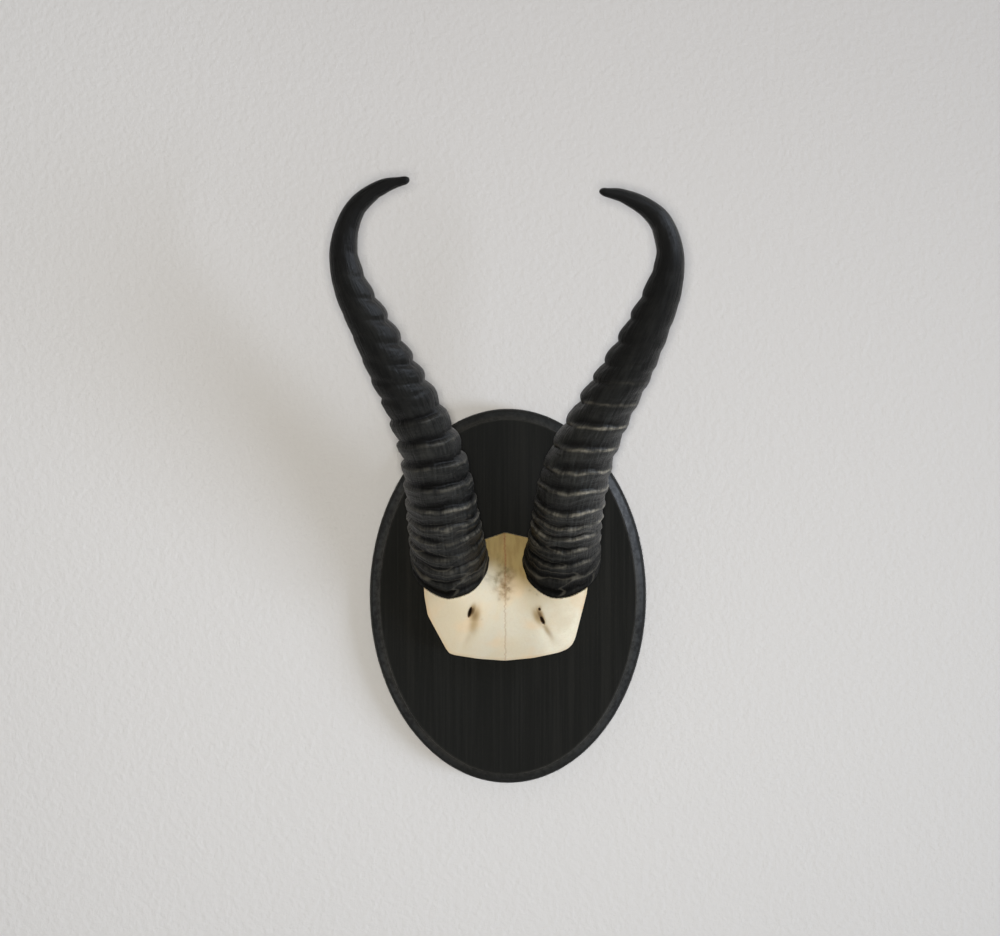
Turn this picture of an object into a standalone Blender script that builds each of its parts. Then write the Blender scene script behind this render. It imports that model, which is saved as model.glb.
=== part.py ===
# Pair of black ringed horns on a bleached skull cap, held on an oval wooden plaque.
# Metres, +Z up. The origin is the centre of the plaque's back, which lies on the wall at y = 0,
# and the front looks along -Y. Left and right are the viewer's.
import bmesh
import bpy
from bisect import bisect_right
from math import atan2, cos, hypot, pi, radians, sin, tan
from mathutils import Matrix, Vector

MM = 0.001
TOUCH_GAP = 0.0003  # between pieces that touch

# Plaque: an oval board whose front edge is rounded, then slopes up to a small step round the flat field
PLAQUE_WIDTH = 0.150
PLAQUE_HEIGHT = 0.203
PLAQUE_THICKNESS = 0.018
PLAQUE_SIDES = 72
BACK_BEVEL = 0.0006
ROUND_OVER_WIDTH = 0.0014
ROUND_OVER_DEPTH = 0.0032
ROUND_OVER_STEPS = 3
EDGE_SLOPE_WIDTH = 0.0040
EDGE_SLOPE_RISE = 0.0022
RISER_HEIGHT = 0.0009
RISER_SLOPE = 0.0003

# Skull cap: heights are above the plaque's front, widths are from the bone's own midline
BONE_MIDLINE_X = -0.0016
CREST_HEIGHT = 0.0305
CREST_Z = 0.004
FRONT_REACH = 0.037      # from the crest down to the lower cut
FRONT_DROP = 0.0155
REAR_REACH = 0.032       # from the crest up to the upper cut
REAR_DROP = 0.0225
REAR_CURVE = 1.5         # power of the fall behind the crest
SIDE_FALL = 5.5          # metres of drop per metre of width squared, below the crest
REAR_SIDE_FALL = 26.0    # the same at the upper cut
BROW_X = 0.029
BROW_Z = -0.012
BROW_RISE = 0.0022
BROW_SPREAD = 0.011
GROOVE_LINE = {          # millimetres up, then millimetres from the midline
    "left": [(-31, -17.5), (-22, -16.8), (-13, -16.6), (-6, -18.4)],
    "right": [(-30, 27.0), (-20, 23.4), (-13, 20.4), (-6, 18.4)],
}
GROOVE_DEPTH = 0.0018
GROOVE_SPREAD = 0.0038
GROOVE_TOP_Z = -0.006
GROOVE_BOTTOM_Z = -0.034
SEAT_RISE = -0.0018      # from a horn's rim up to the bone round it
SEAT_SLOPE = 0.65
SEAT_BLEND = 0.006
SEAT_CLEARANCE = 0.00045
BONE_OUTLINE = [         # saw cut outline in millimetres, clockwise from the top
    (0, 34.8), (12.5, 32), (29, 30), (39, 22), (43, 10), (42.5, 4.5), (40, -6.5), (37, -20.5),
    (35.5, -24), (33, -26.5), (28.5, -28.5), (15, -31.5), (0, -33), (-14, -32), (-26.5, -30),
    (-29.5, -29), (-31.5, -26), (-40.5, -7.5), (-42, 2.5), (-42.5, 10), (-39, 22), (-29, 29),
    (-12.5, 30.6),
]
BONE_GRID = 30
BONE_BLANK_HALF = 0.048  # half the side of the square blank that the outline is cut from
BONE_LEAST = 0.003       # least height of the blank
PITS = {"left": (-0.0185, -0.0060, 16), "right": (0.0194, -0.0098, -27)}    # x, z and lean in degrees
PIT_SIZE = (0.0012, 0.0031, 0.0038)     # half width, half height, half depth

# Horns: centreline stations in millimetres (x, y, z) with the mean half width there, rim first
HORN_STATIONS = {
    "left": [
        (-30.5, -41.5, 20.0, 20.0), (-32.5, -57.5, 38.5, 18.7), (-35.0, -72.5, 58.5, 17.2),
        (-39.0, -86.0, 78.5, 15.2), (-47.0, -97.5, 99.0, 13.1), (-57.5, -108.0, 119.0, 11.6),
        (-68.0, -116.0, 140.0, 9.9), (-76.5, -121.0, 157.5, 8.3), (-80.0, -123.5, 173.5, 6.9),
        (-77.0, -125.0, 188.5, 5.5), (-71.0, -126.5, 197.7, 4.6), (-60.5, -129.0, 204.5, 3.5),
        (-51.0, -131.0, 206.9, 2.1),
    ],
    "right": [
        (28.0, -41.5, 20.0, 20.0), (29.0, -57.5, 38.5, 18.7), (32.0, -72.5, 58.0, 17.5),
        (37.5, -85.5, 78.0, 15.5), (47.0, -97.5, 98.0, 13.3), (58.0, -108.0, 118.0, 11.9),
        (68.0, -116.5, 139.0, 10.2), (75.0, -121.0, 156.5, 8.6), (78.0, -123.5, 172.5, 6.8),
        (73.1, -125.5, 188.0, 5.5), (64.0, -127.0, 196.0, 4.3), (53.5, -129.0, 200.4, 3.1),
        (46.7, -130.2, 201.5, 2.1),
    ],
}
HORN_SIDES = 20
DEPTH_RATIO = 1.12       # a horn is a little deeper front to back than it is wide
FIRST_CREST = 0.4        # millimetres along the centreline from the rim to the first ring's crest
RING_STEPS = {           # and from each crest to the next
    "left": [4.5, 6, 7, 7.5, 8, 9.5, 12, 12.5, 13, 13, 13, 12, 11, 12.5, 12, 12, 12],
    "right": [5.5, 6, 8, 7.5, 6.5, 8.5, 11.5, 11, 13, 13.5, 13.5, 13, 10, 12.5, 13, 11.5],
}
# Tables read by distance from the rim in millimetres
RING_HEIGHT = [(0, 1.4), (40, 1.9), (110, 2.2), (145, 1.8), (166, 1.3), (180, 0.3)]  # crest to groove, in mm
OUTER_SHARE = [(0, 0.9), (90, 0.9), (135, 0.25), (190, 0.2)]    # of that, on the side away from the midline
LEDGE_SHARE = [(0, 0.22), (90, 0.25), (140, 0.5), (190, 0.5)]   # of a ring's step, the drop above its crest
RING_LEAN = [(0, 40), (12, 25), (35, 19), (60, 14), (90, 12), (190, 14)]            # degrees out from level
TONGUE = [(0, 4.4), (10, 3), (25, 0.8), (45, 0)]         # millimetres that a ring dips at the front
RING_TURN = {"left": 0.55, "right": 0.05}    # how much of the horn's sideways lean its rings follow
CREST = 0.5              # shares of the ring height, out from the mean surface
SWELL = 0.12
GROOVE = -0.5
OUTER_SOFTNESS = 0.8     # how quickly the outer side's share takes over round a horn
SMOOTH_FROM = 168        # millimetres from the rim, where the rings start to die out
SMOOTH_FADE = 13
SMOOTH_STEP = 7
SEATED_LENGTH = 60       # of a horn's lower end, in millimetres, as far as it can meet the bone
RIM_UNDER = [(-3.6, 0.60, 0.0), (-2.4, 0.86, 0.7)]   # mm past the rim, share of width, share of tongue
TIP_ROUND = [(0.85, 0.87), (1.40, 0.57), (1.68, 0.18)]    # tip radii past the last station, share of width

# Fixings behind: a keyhole hanger let into the board, and two screws up into the bone
HANGER_Z = 0.062
HANGER_SIZE = (0.016, 0.044, 0.0015)     # width, height, thickness
HANGER_ROUND = 0.004
HANGER_SCREW_OFFSET = 0.0165
KEYHOLE_RADIUS = 0.0050
KEYHOLE_Z = -0.0040                      # from the hanger's centre
SLOT_WIDTH = 0.0052
SLOT_TOP_Z = 0.0075
NAIL_ROOM_DEPTH = 0.0085
NAIL_ROOM_MARGIN = 0.0012
HANGER_SCREW = (0.0012, 0.0110, 0.0026, 0.0014)   # shank radius, length, head radius, height of its taper
BONE_SCREW = (0.0020, 0.0260, 0.0042, 0.0026)     # shank radius, length, head radius, head height
PAN_FLAT = 0.7           # share of a pan head's radius that is flat on top
BONE_SCREW_Z = {"lower": -0.013, "upper": 0.017}
COUNTERBORE_DEPTH = 0.0060
COUNTERBORE_MARGIN = 0.0010
SCREW_CLEARANCE = 0.0004
SCREW_SIDES = 14
DRIVE_SLOT = (0.0008, 0.0006)            # width, depth
DRIVE_SHARE = 1.35       # length of the cross slot, in head radii
OVERCUT = 0.001                          # how far a cutter runs past the face that it opens
MERGE_DISTANCE = 0.00001

FACE_UP = Matrix.Rotation(pi / 2, 4, "X")   # turns a flat drawing to face the viewer


def clear_scene():
    for obj in list(bpy.data.objects):
        bpy.data.objects.remove(obj, do_unlink=True)


def new_collection(name):
    collection = bpy.data.collections.new(name)
    bpy.context.scene.collection.children.link(collection)
    return collection


def new_material(name, colour, roughness, metallic=0.0):
    material = bpy.data.materials.new(name)
    material.use_nodes = True
    shader = material.node_tree.nodes["Principled BSDF"]
    shader.inputs["Base Color"].default_value = (*colour, 1.0)
    shader.inputs["Roughness"].default_value = roughness
    shader.inputs["Metallic"].default_value = metallic
    return material


def finish_object(name, bm, collection, matrix, material=None):
    bmesh.ops.recalc_face_normals(bm, faces=bm.faces)
    mesh = bpy.data.meshes.new(name)
    bm.to_mesh(mesh)
    bm.free()
    obj = bpy.data.objects.new(name, mesh)
    obj.matrix_world = matrix
    collection.objects.link(obj)
    if material:
        mesh.materials.append(material)
    return obj


def mark_cutter(obj):
    obj.hide_render = True
    obj.display_type = "WIRE"
    return obj


def cut(obj, cutter, operation="DIFFERENCE"):
    modifier = obj.modifiers.new(cutter.name, "BOOLEAN")
    modifier.operation = operation
    modifier.solver = "EXACT"
    modifier.object = cutter


def shade_round(obj, angle=35):
    obj.data.shade_smooth()
    obj.data.set_sharp_from_angle(angle=radians(angle))


def between(table, at):
    """Value read from a short table of (place, value) pairs, straight between them."""
    if at <= table[0][0]:
        return table[0][1]
    for (low, first), (high, last) in zip(table, table[1:]):
        if at <= high:
            return first + (last - first) * (at - low) / (high - low)
    return table[-1][1]


def smooth_step(value):
    value = min(1.0, max(0.0, value))
    return value * value * (3 - 2 * value)


def smooth_max(first, second, blend):
    overlap = max(0.0, blend - abs(first - second)) / blend
    return max(first, second) + overlap * overlap * blend / 4


# Plaque

def edge_steps():
    """(inset, rise) of each step from the top of the plaque's side up to the border of its flat front."""
    steps = []
    turn = atan2(EDGE_SLOPE_WIDTH, EDGE_SLOPE_RISE)
    for step in range(ROUND_OVER_STEPS):
        first = turn * step / ROUND_OVER_STEPS
        last = turn * (step + 1) / ROUND_OVER_STEPS
        inset = ROUND_OVER_WIDTH * (cos(first) - cos(last)) / (1 - cos(turn))
        steps.append((inset, ROUND_OVER_DEPTH * (sin(last) - sin(first)) / sin(turn)))
    steps.append((EDGE_SLOPE_WIDTH, EDGE_SLOPE_RISE))
    steps.append((RISER_SLOPE, RISER_HEIGHT))
    return steps


def make_plaque(collection):
    """An oval board, its front stepped in by the same amount all round."""
    edge_height = RISER_HEIGHT + EDGE_SLOPE_RISE + ROUND_OVER_DEPTH
    side_height = PLAQUE_THICKNESS - edge_height - BACK_BEVEL
    bm = bmesh.new()
    bmesh.ops.create_cone(bm, cap_ends=True, segments=PLAQUE_SIDES, radius1=0.5, radius2=0.5, depth=1.0)
    bmesh.ops.scale(bm, vec=(PLAQUE_WIDTH, PLAQUE_HEIGHT, side_height), verts=bm.verts)
    bmesh.ops.translate(bm, verts=bm.verts, vec=(0, 0, BACK_BEVEL + side_height / 2))
    bm.normal_update()
    back, front = sorted((face for face in bm.faces if len(face.verts) > 4), key=lambda face: face.normal.z)
    bmesh.ops.inset_region(bm, faces=[back], thickness=BACK_BEVEL, depth=BACK_BEVEL, use_even_offset=True)
    for inset, rise in edge_steps():
        bmesh.ops.inset_region(bm, faces=[front], thickness=inset, depth=rise, use_even_offset=True)
    stained_wood = new_material("stained_wood", (0.020, 0.020, 0.018), 0.62)
    plaque = finish_object("plaque", bm, collection, FACE_UP, stained_wood)
    shade_round(plaque)
    return plaque


# Skull cap

def seat_plane(side):
    """A point on a horn's seat and the slope of that seat, as height above the plaque per metre up."""
    x, y, z, _ = (value * MM for value in HORN_STATIONS[side][0])
    return x - BONE_MIDLINE_X, z, -y - PLAQUE_THICKNESS, -tan(pi / 2 - radians(RING_LEAN[0][1]))


def seat_height(side, x, z):
    centre_x, centre_z, centre_height, slope = seat_plane(side)
    half_width = HORN_STATIONS[side][0][3] * MM
    half_height = half_width * DEPTH_RATIO * sin(radians(RING_LEAN[0][1])) + TONGUE[0][1] * MM / 2
    reach = hypot((x - centre_x) / half_width, (z - centre_z) / half_height)
    if reach <= 1:
        return centre_height + slope * (z - centre_z) + SEAT_RISE
    rim_z = centre_z + (z - centre_z) / reach
    return centre_height + slope * (rim_z - centre_z) + SEAT_RISE - (reach - 1) * half_width * SEAT_SLOPE


def bone_height(x, z):
    """Height of the bone's outer surface over the plaque at x from its midline."""
    if z < CREST_Z:
        below = (CREST_Z - z) / FRONT_REACH
        height = CREST_HEIGHT - FRONT_DROP * below * below
        fall = SIDE_FALL
    else:
        above = (z - CREST_Z) / REAR_REACH
        height = CREST_HEIGHT - REAR_DROP * above ** REAR_CURVE
        fall = SIDE_FALL + (REAR_SIDE_FALL - SIDE_FALL) * smooth_step(above)
    height -= fall * x * x
    brow = hypot(abs(x) - BROW_X, z - BROW_Z) / BROW_SPREAD
    height += BROW_RISE * max(0.0, 1 - brow * brow / 4)
    along = (GROOVE_TOP_Z - z) / (GROOVE_TOP_Z - GROOVE_BOTTOM_Z)
    groove_x = between(GROOVE_LINE["left" if x < 0 else "right"], z / MM) * MM
    groove = max(0.0, 1 - ((x - groove_x) / GROOVE_SPREAD) ** 2)
    height -= GROOVE_DEPTH * groove * smooth_step(4 * along) * (1 - 0.5 * smooth_step(along))
    for side in HORN_STATIONS:
        height = smooth_max(height, seat_height(side, x, z), SEAT_BLEND)
    return height


def make_bone(collection, cutters):
    """A domed block raised from a grid, then trimmed to the saw cut outline."""
    bm = bmesh.new()
    bmesh.ops.create_grid(bm, x_segments=BONE_GRID, y_segments=BONE_GRID, size=BONE_BLANK_HALF)
    for vert in bm.verts:
        vert.co.z = max(BONE_LEAST, bone_height(vert.co.x, vert.co.y))
    border = [edge for edge in bm.edges if edge.is_boundary]
    skirt = bmesh.ops.extrude_edge_only(bm, edges=border)["geom"]
    for item in skirt:
        if isinstance(item, bmesh.types.BMVert):
            item.co.z = TOUCH_GAP
    bmesh.ops.contextual_create(bm, geom=[edge for edge in bm.edges if edge.is_boundary])
    matrix = Matrix.Translation((BONE_MIDLINE_X, -PLAQUE_THICKNESS, 0)) @ FACE_UP
    bleached_bone = new_material("bleached_bone", (0.72, 0.66, 0.50), 0.55)
    bone = finish_object("skull_plate", bm, collection, matrix, bleached_bone)
    shade_round(bone)
    outline = [(x * MM, z * MM) for x, z in BONE_OUTLINE]
    saw_cut = prism("saw_cut_outline", outline, -OVERCUT, 2 * CREST_HEIGHT, cutters, matrix)
    cut(bone, mark_cutter(saw_cut), "INTERSECT")
    return bone


def make_pits(bone, cutters):
    for side, (x, z, lean) in PITS.items():
        bm = bmesh.new()
        bmesh.ops.create_uvsphere(bm, u_segments=10, v_segments=6, radius=1.0)
        bmesh.ops.scale(bm, vec=PIT_SIZE, verts=bm.verts)
        bmesh.ops.rotate(bm, verts=bm.verts, matrix=Matrix.Rotation(radians(-lean), 3, "Z"))
        bmesh.ops.translate(bm, verts=bm.verts, vec=Vector((x, z, bone_height(x, z))))
        cut(bone, mark_cutter(finish_object("pit_" + side, bm, cutters, bone.matrix_world.copy())))


# Horns

def loft_rings(bm, rings):
    """Skin a list of rings that all have the same number of points, and close both ends."""
    loops = [[bm.verts.new(point) for point in ring] for ring in rings]
    count = len(loops[0])
    for low, high in zip(loops, loops[1:]):
        for i in range(count):
            j = (i + 1) % count
            bm.faces.new((low[i], low[j], high[j], high[i]))
    bm.faces.new(loops[0])
    bm.faces.new(loops[-1])


class HornLine:
    """A horn's centreline: a smooth curve through its stations, read by distance from the rim."""

    def __init__(self, side):
        self.side = side
        self.stations = [Vector(station) * MM for station in HORN_STATIONS[side]]
        self.places = [0.0]
        for first, last in zip(self.stations, self.stations[1:]):
            self.places.append(self.places[-1] + (last - first).xyz.length)
        self.length = self.places[-1]
        self.slopes = [self.slope_at(i) for i in range(len(self.stations))]

    def slope_at(self, i):
        low = max(0, i - 1)
        high = min(len(self.stations) - 1, i + 1)
        return (self.stations[high] - self.stations[low]) / (self.places[high] - self.places[low])

    def read(self, distance):
        """Centre, half width and direction at a distance from the rim."""
        inside = min(self.length, max(0.0, distance))
        i = min(len(self.stations) - 2, max(0, bisect_right(self.places, inside) - 1))
        span = self.places[i + 1] - self.places[i]
        t = (inside - self.places[i]) / span
        first, last = self.stations[i], self.stations[i + 1]
        leaving, arriving = self.slopes[i], self.slopes[i + 1]
        value = first * (2 * t ** 3 - 3 * t ** 2 + 1) + last * (3 * t ** 2 - 2 * t ** 3)
        value += span * (leaving * (t ** 3 - 2 * t ** 2 + t) + arriving * (t ** 3 - t ** 2))
        rate = (first - last) * (6 * t ** 2 - 6 * t) / span
        rate += leaving * (3 * t ** 2 - 4 * t + 1) + arriving * (3 * t ** 2 - 2 * t)
        direction = rate.xyz.normalized()
        return value.xyz + direction * (distance - inside), value.w, direction

    def ring(self, distance, width_share=1.0, tongue_share=1.0, relief=0.0, clearance=0.0):
        """One closed ring of points. relief is a share of the ring height, from GROOVE to CREST."""
        centre, half_width, along = self.read(distance)
        across = Vector((along.z, 0, -along.x)).normalized()
        front = across.cross(along)
        place = distance / MM
        fade = 1 - smooth_step((place - SMOOTH_FROM) / SMOOTH_FADE)
        sideways = atan2(along.x, along.z) * (1 - RING_TURN[self.side]) * fade
        forward = (atan2(-along.y, hypot(along.x, along.z)) - radians(between(RING_LEAN, place))) * fade
        height = between(RING_HEIGHT, place) * MM * relief
        outer_share = between(OUTER_SHARE, place)
        outer_sign = -1 if self.side == "left" else 1
        tongue = between(TONGUE, place) * MM * tongue_share
        points = []
        for step in range(HORN_SIDES):
            angle = 2 * pi * step / HORN_SIDES
            outer = smooth_step(0.5 + outer_sign * cos(angle) * OUTER_SOFTNESS)
            radius = half_width * width_share + height * (1 + (outer_share - 1) * outer) + clearance
            side_offset = radius * cos(angle)
            front_offset = (radius + half_width * width_share * (DEPTH_RATIO - 1)) * sin(angle)
            shift = side_offset * tan(sideways) + front_offset * tan(forward)
            shift -= tongue * max(0.0, sin(angle)) ** 2
            points.append(centre + across * side_offset + front * front_offset + along * shift)
        return points

    def ring_marks(self):
        """(distance, relief) pairs from the rim's crest to the last ring: groove, swell and crest."""
        marks = []
        crest = FIRST_CREST
        for step in RING_STEPS[self.side]:
            ledge = step * between(LEDGE_SHARE, crest)
            marks.append((crest, CREST))
            marks.append((crest + ledge, GROOVE))
            marks.append((crest + (ledge + step) / 2, SWELL))
            crest += step
        marks.append((crest, CREST))
        return [(place * MM, relief) for place, relief in marks]


def horn_rings(line, clearance=0.0):
    rings = []
    for place, width_share, tongue_share in RIM_UNDER:
        rings.append(line.ring(place * MM - clearance, width_share, tongue_share, 0.0, clearance))
    marks = line.ring_marks()
    if clearance:
        for place, relief in marks:
            if relief == CREST and place < SEATED_LENGTH * MM:
                rings.append(line.ring(place, relief=CREST, clearance=clearance))
        return rings
    for place, relief in marks:
        rings.append(line.ring(place, relief=relief))
    place = marks[-1][0] + SMOOTH_STEP * MM
    while place < line.length - SMOOTH_STEP * MM / 2:
        rings.append(line.ring(place))
        place += SMOOTH_STEP * MM
    rings.append(line.ring(line.length))
    tip_radius = line.stations[-1].w
    for beyond, share in TIP_ROUND:
        rings.append(line.ring(line.length + beyond * tip_radius, share))
    return rings


def make_horn(side, collection, material):
    line = HornLine(side)
    root = line.stations[0].xyz
    bm = bmesh.new()
    loft_rings(bm, [[point - root for point in ring] for ring in horn_rings(line)])
    horn = finish_object("horn_" + side, bm, collection, Matrix.Translation(root), material)
    shade_round(horn, 60)
    return horn


def seats_cutter(cutters):
    """Both horns' lower ends, swollen by the gap that the bone keeps to them."""
    bm = bmesh.new()
    for side in HORN_STATIONS:
        loft_rings(bm, horn_rings(HornLine(side), SEAT_CLEARANCE))
    return mark_cutter(finish_object("horn_seats", bm, cutters, Matrix.Identity(4)))


# Fixings

def capsule_outline(radius, low, high, steps=8):
    """Outline of an upright slot with round ends."""
    points = []
    for centre, start in ((high, 0.0), (low, pi)):
        for step in range(steps + 1):
            angle = start + pi * step / steps
            points.append((radius * cos(angle), centre + radius * sin(angle)))
    return points


def rounded_rectangle(width, height, radius, steps=4):
    points = []
    for quarter, (sx, sy) in enumerate(((1, 1), (-1, 1), (-1, -1), (1, -1))):
        for step in range(steps + 1):
            angle = pi / 2 * (quarter + step / steps)
            points.append((sx * (width / 2 - radius) + radius * cos(angle),
                           sy * (height / 2 - radius) + radius * sin(angle)))
    return points


def prism(name, outline, bottom, top, collection, matrix, material=None):
    """A flat outline drawn up from one height to another."""
    bm = bmesh.new()
    base = bm.faces.new([bm.verts.new((x, y, bottom)) for x, y in outline])
    drawn = bmesh.ops.extrude_face_region(bm, geom=[base], use_keep_orig=True)["geom"]
    lifted = [item for item in drawn if isinstance(item, bmesh.types.BMVert)]
    bmesh.ops.translate(bm, verts=lifted, vec=(0, 0, top - bottom))
    return finish_object(name, bm, collection, matrix, material)


def drill(name, radii, bottom, top, cutters, matrix):
    """A round cutter, straight or conical, between two heights."""
    bm = bmesh.new()
    depth = top - bottom
    low, high = radii
    bmesh.ops.create_cone(bm, cap_ends=True, segments=SCREW_SIDES, radius1=low, radius2=high, depth=depth)
    bmesh.ops.translate(bm, verts=bm.verts, vec=(0, 0, bottom + depth / 2))
    return mark_cutter(finish_object(name, bm, cutters, matrix))


def turned(name, profile, collection, matrix, material):
    """A (radius, height) profile, top to bottom, turned about its own upright axis."""
    mesh = bpy.data.meshes.new(name)
    edges = [(i, i + 1) for i in range(len(profile) - 1)]
    mesh.from_pydata([(radius, 0, height) for radius, height in profile], edges, [])
    mesh.materials.append(material)
    obj = bpy.data.objects.new(name, mesh)
    obj.matrix_world = matrix
    collection.objects.link(obj)
    screw = obj.modifiers.new("turn", "SCREW")
    screw.steps = screw.render_steps = SCREW_SIDES
    screw.use_merge_vertices = True
    screw.merge_threshold = MERGE_DISTANCE
    return obj


def cut_drive(obj, head, head_top, cutters):
    """Cross slot in a screw's head, whose flat outer face is at height head_top."""
    width, depth = DRIVE_SLOT
    length = DRIVE_SHARE * head
    for index, (sx, sy) in enumerate(((width, length), (length, width))):
        outline = [(-sx / 2, -sy / 2), (sx / 2, -sy / 2), (sx / 2, sy / 2), (-sx / 2, sy / 2)]
        name = f"{obj.name}_drive_{index}"
        slot = prism(name, outline, head_top - OVERCUT, head_top + depth, cutters, obj.matrix_world.copy())
        cut(obj, mark_cutter(slot))


def make_hanger(plaque, collection, cutters, steel):
    """Keyhole plate set flush in the plaque's back, over a pocket that leaves room for a nail's head."""
    width, height, thickness = HANGER_SIZE
    place = Matrix.Translation((0, 0, HANGER_Z)) @ FACE_UP
    through = (-OVERCUT, thickness + OVERCUT)
    recess = rounded_rectangle(width + 2 * TOUCH_GAP, height + 2 * TOUCH_GAP, HANGER_ROUND)
    cut(plaque, mark_cutter(prism("hanger_recess", recess, -OVERCUT, thickness + TOUCH_GAP, cutters, place)))
    nail_room = capsule_outline(KEYHOLE_RADIUS + NAIL_ROOM_MARGIN, KEYHOLE_Z, SLOT_TOP_Z)
    cut(plaque, mark_cutter(prism("nail_room", nail_room, -OVERCUT, NAIL_ROOM_DEPTH, cutters, place)))
    outline = rounded_rectangle(width, height, HANGER_ROUND)
    plate = prism("hanger_plate", outline, 0.0, thickness, collection, place, steel)
    entry = place @ Matrix.Translation((0, KEYHOLE_Z, 0))
    cut(plate, drill("keyhole", (KEYHOLE_RADIUS, KEYHOLE_RADIUS), *through, cutters, entry))
    slot = capsule_outline(SLOT_WIDTH / 2, KEYHOLE_Z, SLOT_TOP_Z)
    cut(plate, mark_cutter(prism("keyhole_slot", slot, *through, cutters, place)))
    for name, offset in (("upper", HANGER_SCREW_OFFSET), ("lower", -HANGER_SCREW_OFFSET)):
        spot = place @ Matrix.Translation((0, offset, 0))
        seat_hanger_screw(name, spot, plaque, plate, cutters)
        make_hanger_screw(name, spot, collection, cutters, steel)


def seat_hanger_screw(name, spot, plaque, plate, cutters):
    """Countersunk hole in the plate and pilot hole in the board."""
    shank, length, head, taper = HANGER_SCREW
    wide, narrow = head + SCREW_CLEARANCE, shank + SCREW_CLEARANCE
    through = (-OVERCUT, HANGER_SIZE[2] + OVERCUT)
    cut(plate, drill(f"countersink_{name}", (wide, narrow), 0.0, taper, cutters, spot))
    cut(plate, drill(f"plate_hole_{name}", (narrow, narrow), *through, cutters, spot))
    cut(plaque, drill(f"pilot_{name}", (narrow, narrow), -OVERCUT, length + OVERCUT, cutters, spot))


def make_hanger_screw(name, spot, collection, cutters, steel):
    """A countersunk screw whose head lies just under the plate's outer face."""
    shank, length, head, taper = HANGER_SCREW
    profile = [(0, length), (shank, length - 2 * shank), (shank, taper), (head, TOUCH_GAP), (0, TOUCH_GAP)]
    screw = turned(f"hanger_screw_{name}", profile, collection, spot, steel)
    cut_drive(screw, head, TOUCH_GAP, cutters)


def make_bone_screws(plaque, bone, collection, cutters, steel):
    """Pan head screws from behind, sunk in counterbores, through the board into the bone."""
    shank, length, head, head_height = BONE_SCREW
    hole = shank + SCREW_CLEARANCE
    room = head + COUNTERBORE_MARGIN
    under_head = COUNTERBORE_DEPTH - TOUCH_GAP
    outer = under_head - head_height
    tip = under_head + length
    profile = [(0, tip), (shank, tip - 2 * shank), (shank, under_head), (head, under_head)]
    profile += [(head, outer + head_height / 2), (PAN_FLAT * head, outer), (0, outer)]
    for name, z in BONE_SCREW_Z.items():
        spot = Matrix.Translation((BONE_MIDLINE_X, 0, z)) @ FACE_UP
        cut(plaque, drill(f"counterbore_{name}", (room, room), -OVERCUT, COUNTERBORE_DEPTH, cutters, spot))
        bore = drill(f"screw_bore_{name}", (hole, hole), -OVERCUT, tip + OVERCUT, cutters, spot)
        cut(plaque, bore)
        cut(bone, bore)
        screw = turned(f"bone_screw_{name}", profile, collection, spot, steel)
        cut_drive(screw, head, outer, cutters)


def main():
    clear_scene()
    parts = new_collection("gazelle_horns_on_plaque")
    cutters = new_collection("cutters")
    plaque = make_plaque(parts)
    bone = make_bone(parts, cutters)
    black_horn = new_material("black_horn", (0.035, 0.034, 0.032), 0.45)
    for side in HORN_STATIONS:
        make_horn(side, parts, black_horn)
    cut(bone, seats_cutter(cutters))
    make_pits(bone, cutters)
    zinc_steel = new_material("zinc_steel", (0.60, 0.60, 0.58), 0.35, 1.0)
    make_hanger(plaque, parts, cutters, zinc_steel)
    make_bone_screws(plaque, bone, parts, cutters, zinc_steel)


main()
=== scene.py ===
# Looks for a pair of black ringed horns on a bleached skull cap, held on an oval wooden board.
# Metres, +Z up. The wall is the plane y = 0 and the front looks along -Y. Left and right are the viewer's.
from bisect import bisect_right
from math import atan2, cos, degrees, exp, hypot, pi, radians, sin, tan

import bmesh
import bpy
from mathutils import Matrix, Vector, noise
from mathutils.bvhtree import BVHTree


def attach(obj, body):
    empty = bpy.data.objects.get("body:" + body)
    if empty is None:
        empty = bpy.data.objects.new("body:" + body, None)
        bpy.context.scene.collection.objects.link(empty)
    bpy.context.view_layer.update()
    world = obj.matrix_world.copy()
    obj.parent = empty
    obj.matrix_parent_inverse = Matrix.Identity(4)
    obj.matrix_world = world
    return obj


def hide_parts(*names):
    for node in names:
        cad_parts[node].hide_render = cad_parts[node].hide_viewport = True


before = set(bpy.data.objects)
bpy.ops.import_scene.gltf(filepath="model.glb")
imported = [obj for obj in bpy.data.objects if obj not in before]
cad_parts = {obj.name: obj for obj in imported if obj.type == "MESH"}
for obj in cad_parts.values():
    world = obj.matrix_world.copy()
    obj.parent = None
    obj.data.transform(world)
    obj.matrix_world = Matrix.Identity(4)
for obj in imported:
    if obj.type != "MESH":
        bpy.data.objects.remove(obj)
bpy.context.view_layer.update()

mm = 0.001
tiny = 1e-6
boardThickness = 0.018      # heights of the bone start at the board's front
faceUp = Matrix.Rotation(pi / 2, 3, "X")  # turns a flat drawing to face the viewer
print("frame loaded:", len(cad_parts), "nodes")


# camera, at the place the picture was taken from
view = {
    "lens": 66.7,
    "sensor": 36.0,
    "place": (-0.0043, -1.018, 0.0694),
    "near": 0.01,
}


def setCamera():
    data = bpy.data.cameras.new("camera")
    data.lens = view["lens"]
    data.sensor_width = view["sensor"]
    data.clip_start = view["near"]
    camera = bpy.data.objects.new("camera", data)
    camera.location = view["place"]
    camera.rotation_euler = (pi / 2, 0, 0)
    bpy.context.scene.collection.objects.link(camera)
    bpy.context.scene.camera = camera


setCamera()
print("camera set")


# small helpers

def ease(value):
    value = min(1.0, max(0.0, value))
    return value * value * (3 - 2 * value)


def ramp(value, start, length):
    return ease((value - start) / length)


def readTable(table, at):
    # straight between short (place, value) pairs
    if at <= table[0][0]:
        return table[0][1]
    for (low, first), (high, last) in zip(table, table[1:]):
        if at <= high:
            return first + (last - first) * (at - low) / (high - low)
    return table[-1][1]


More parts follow.
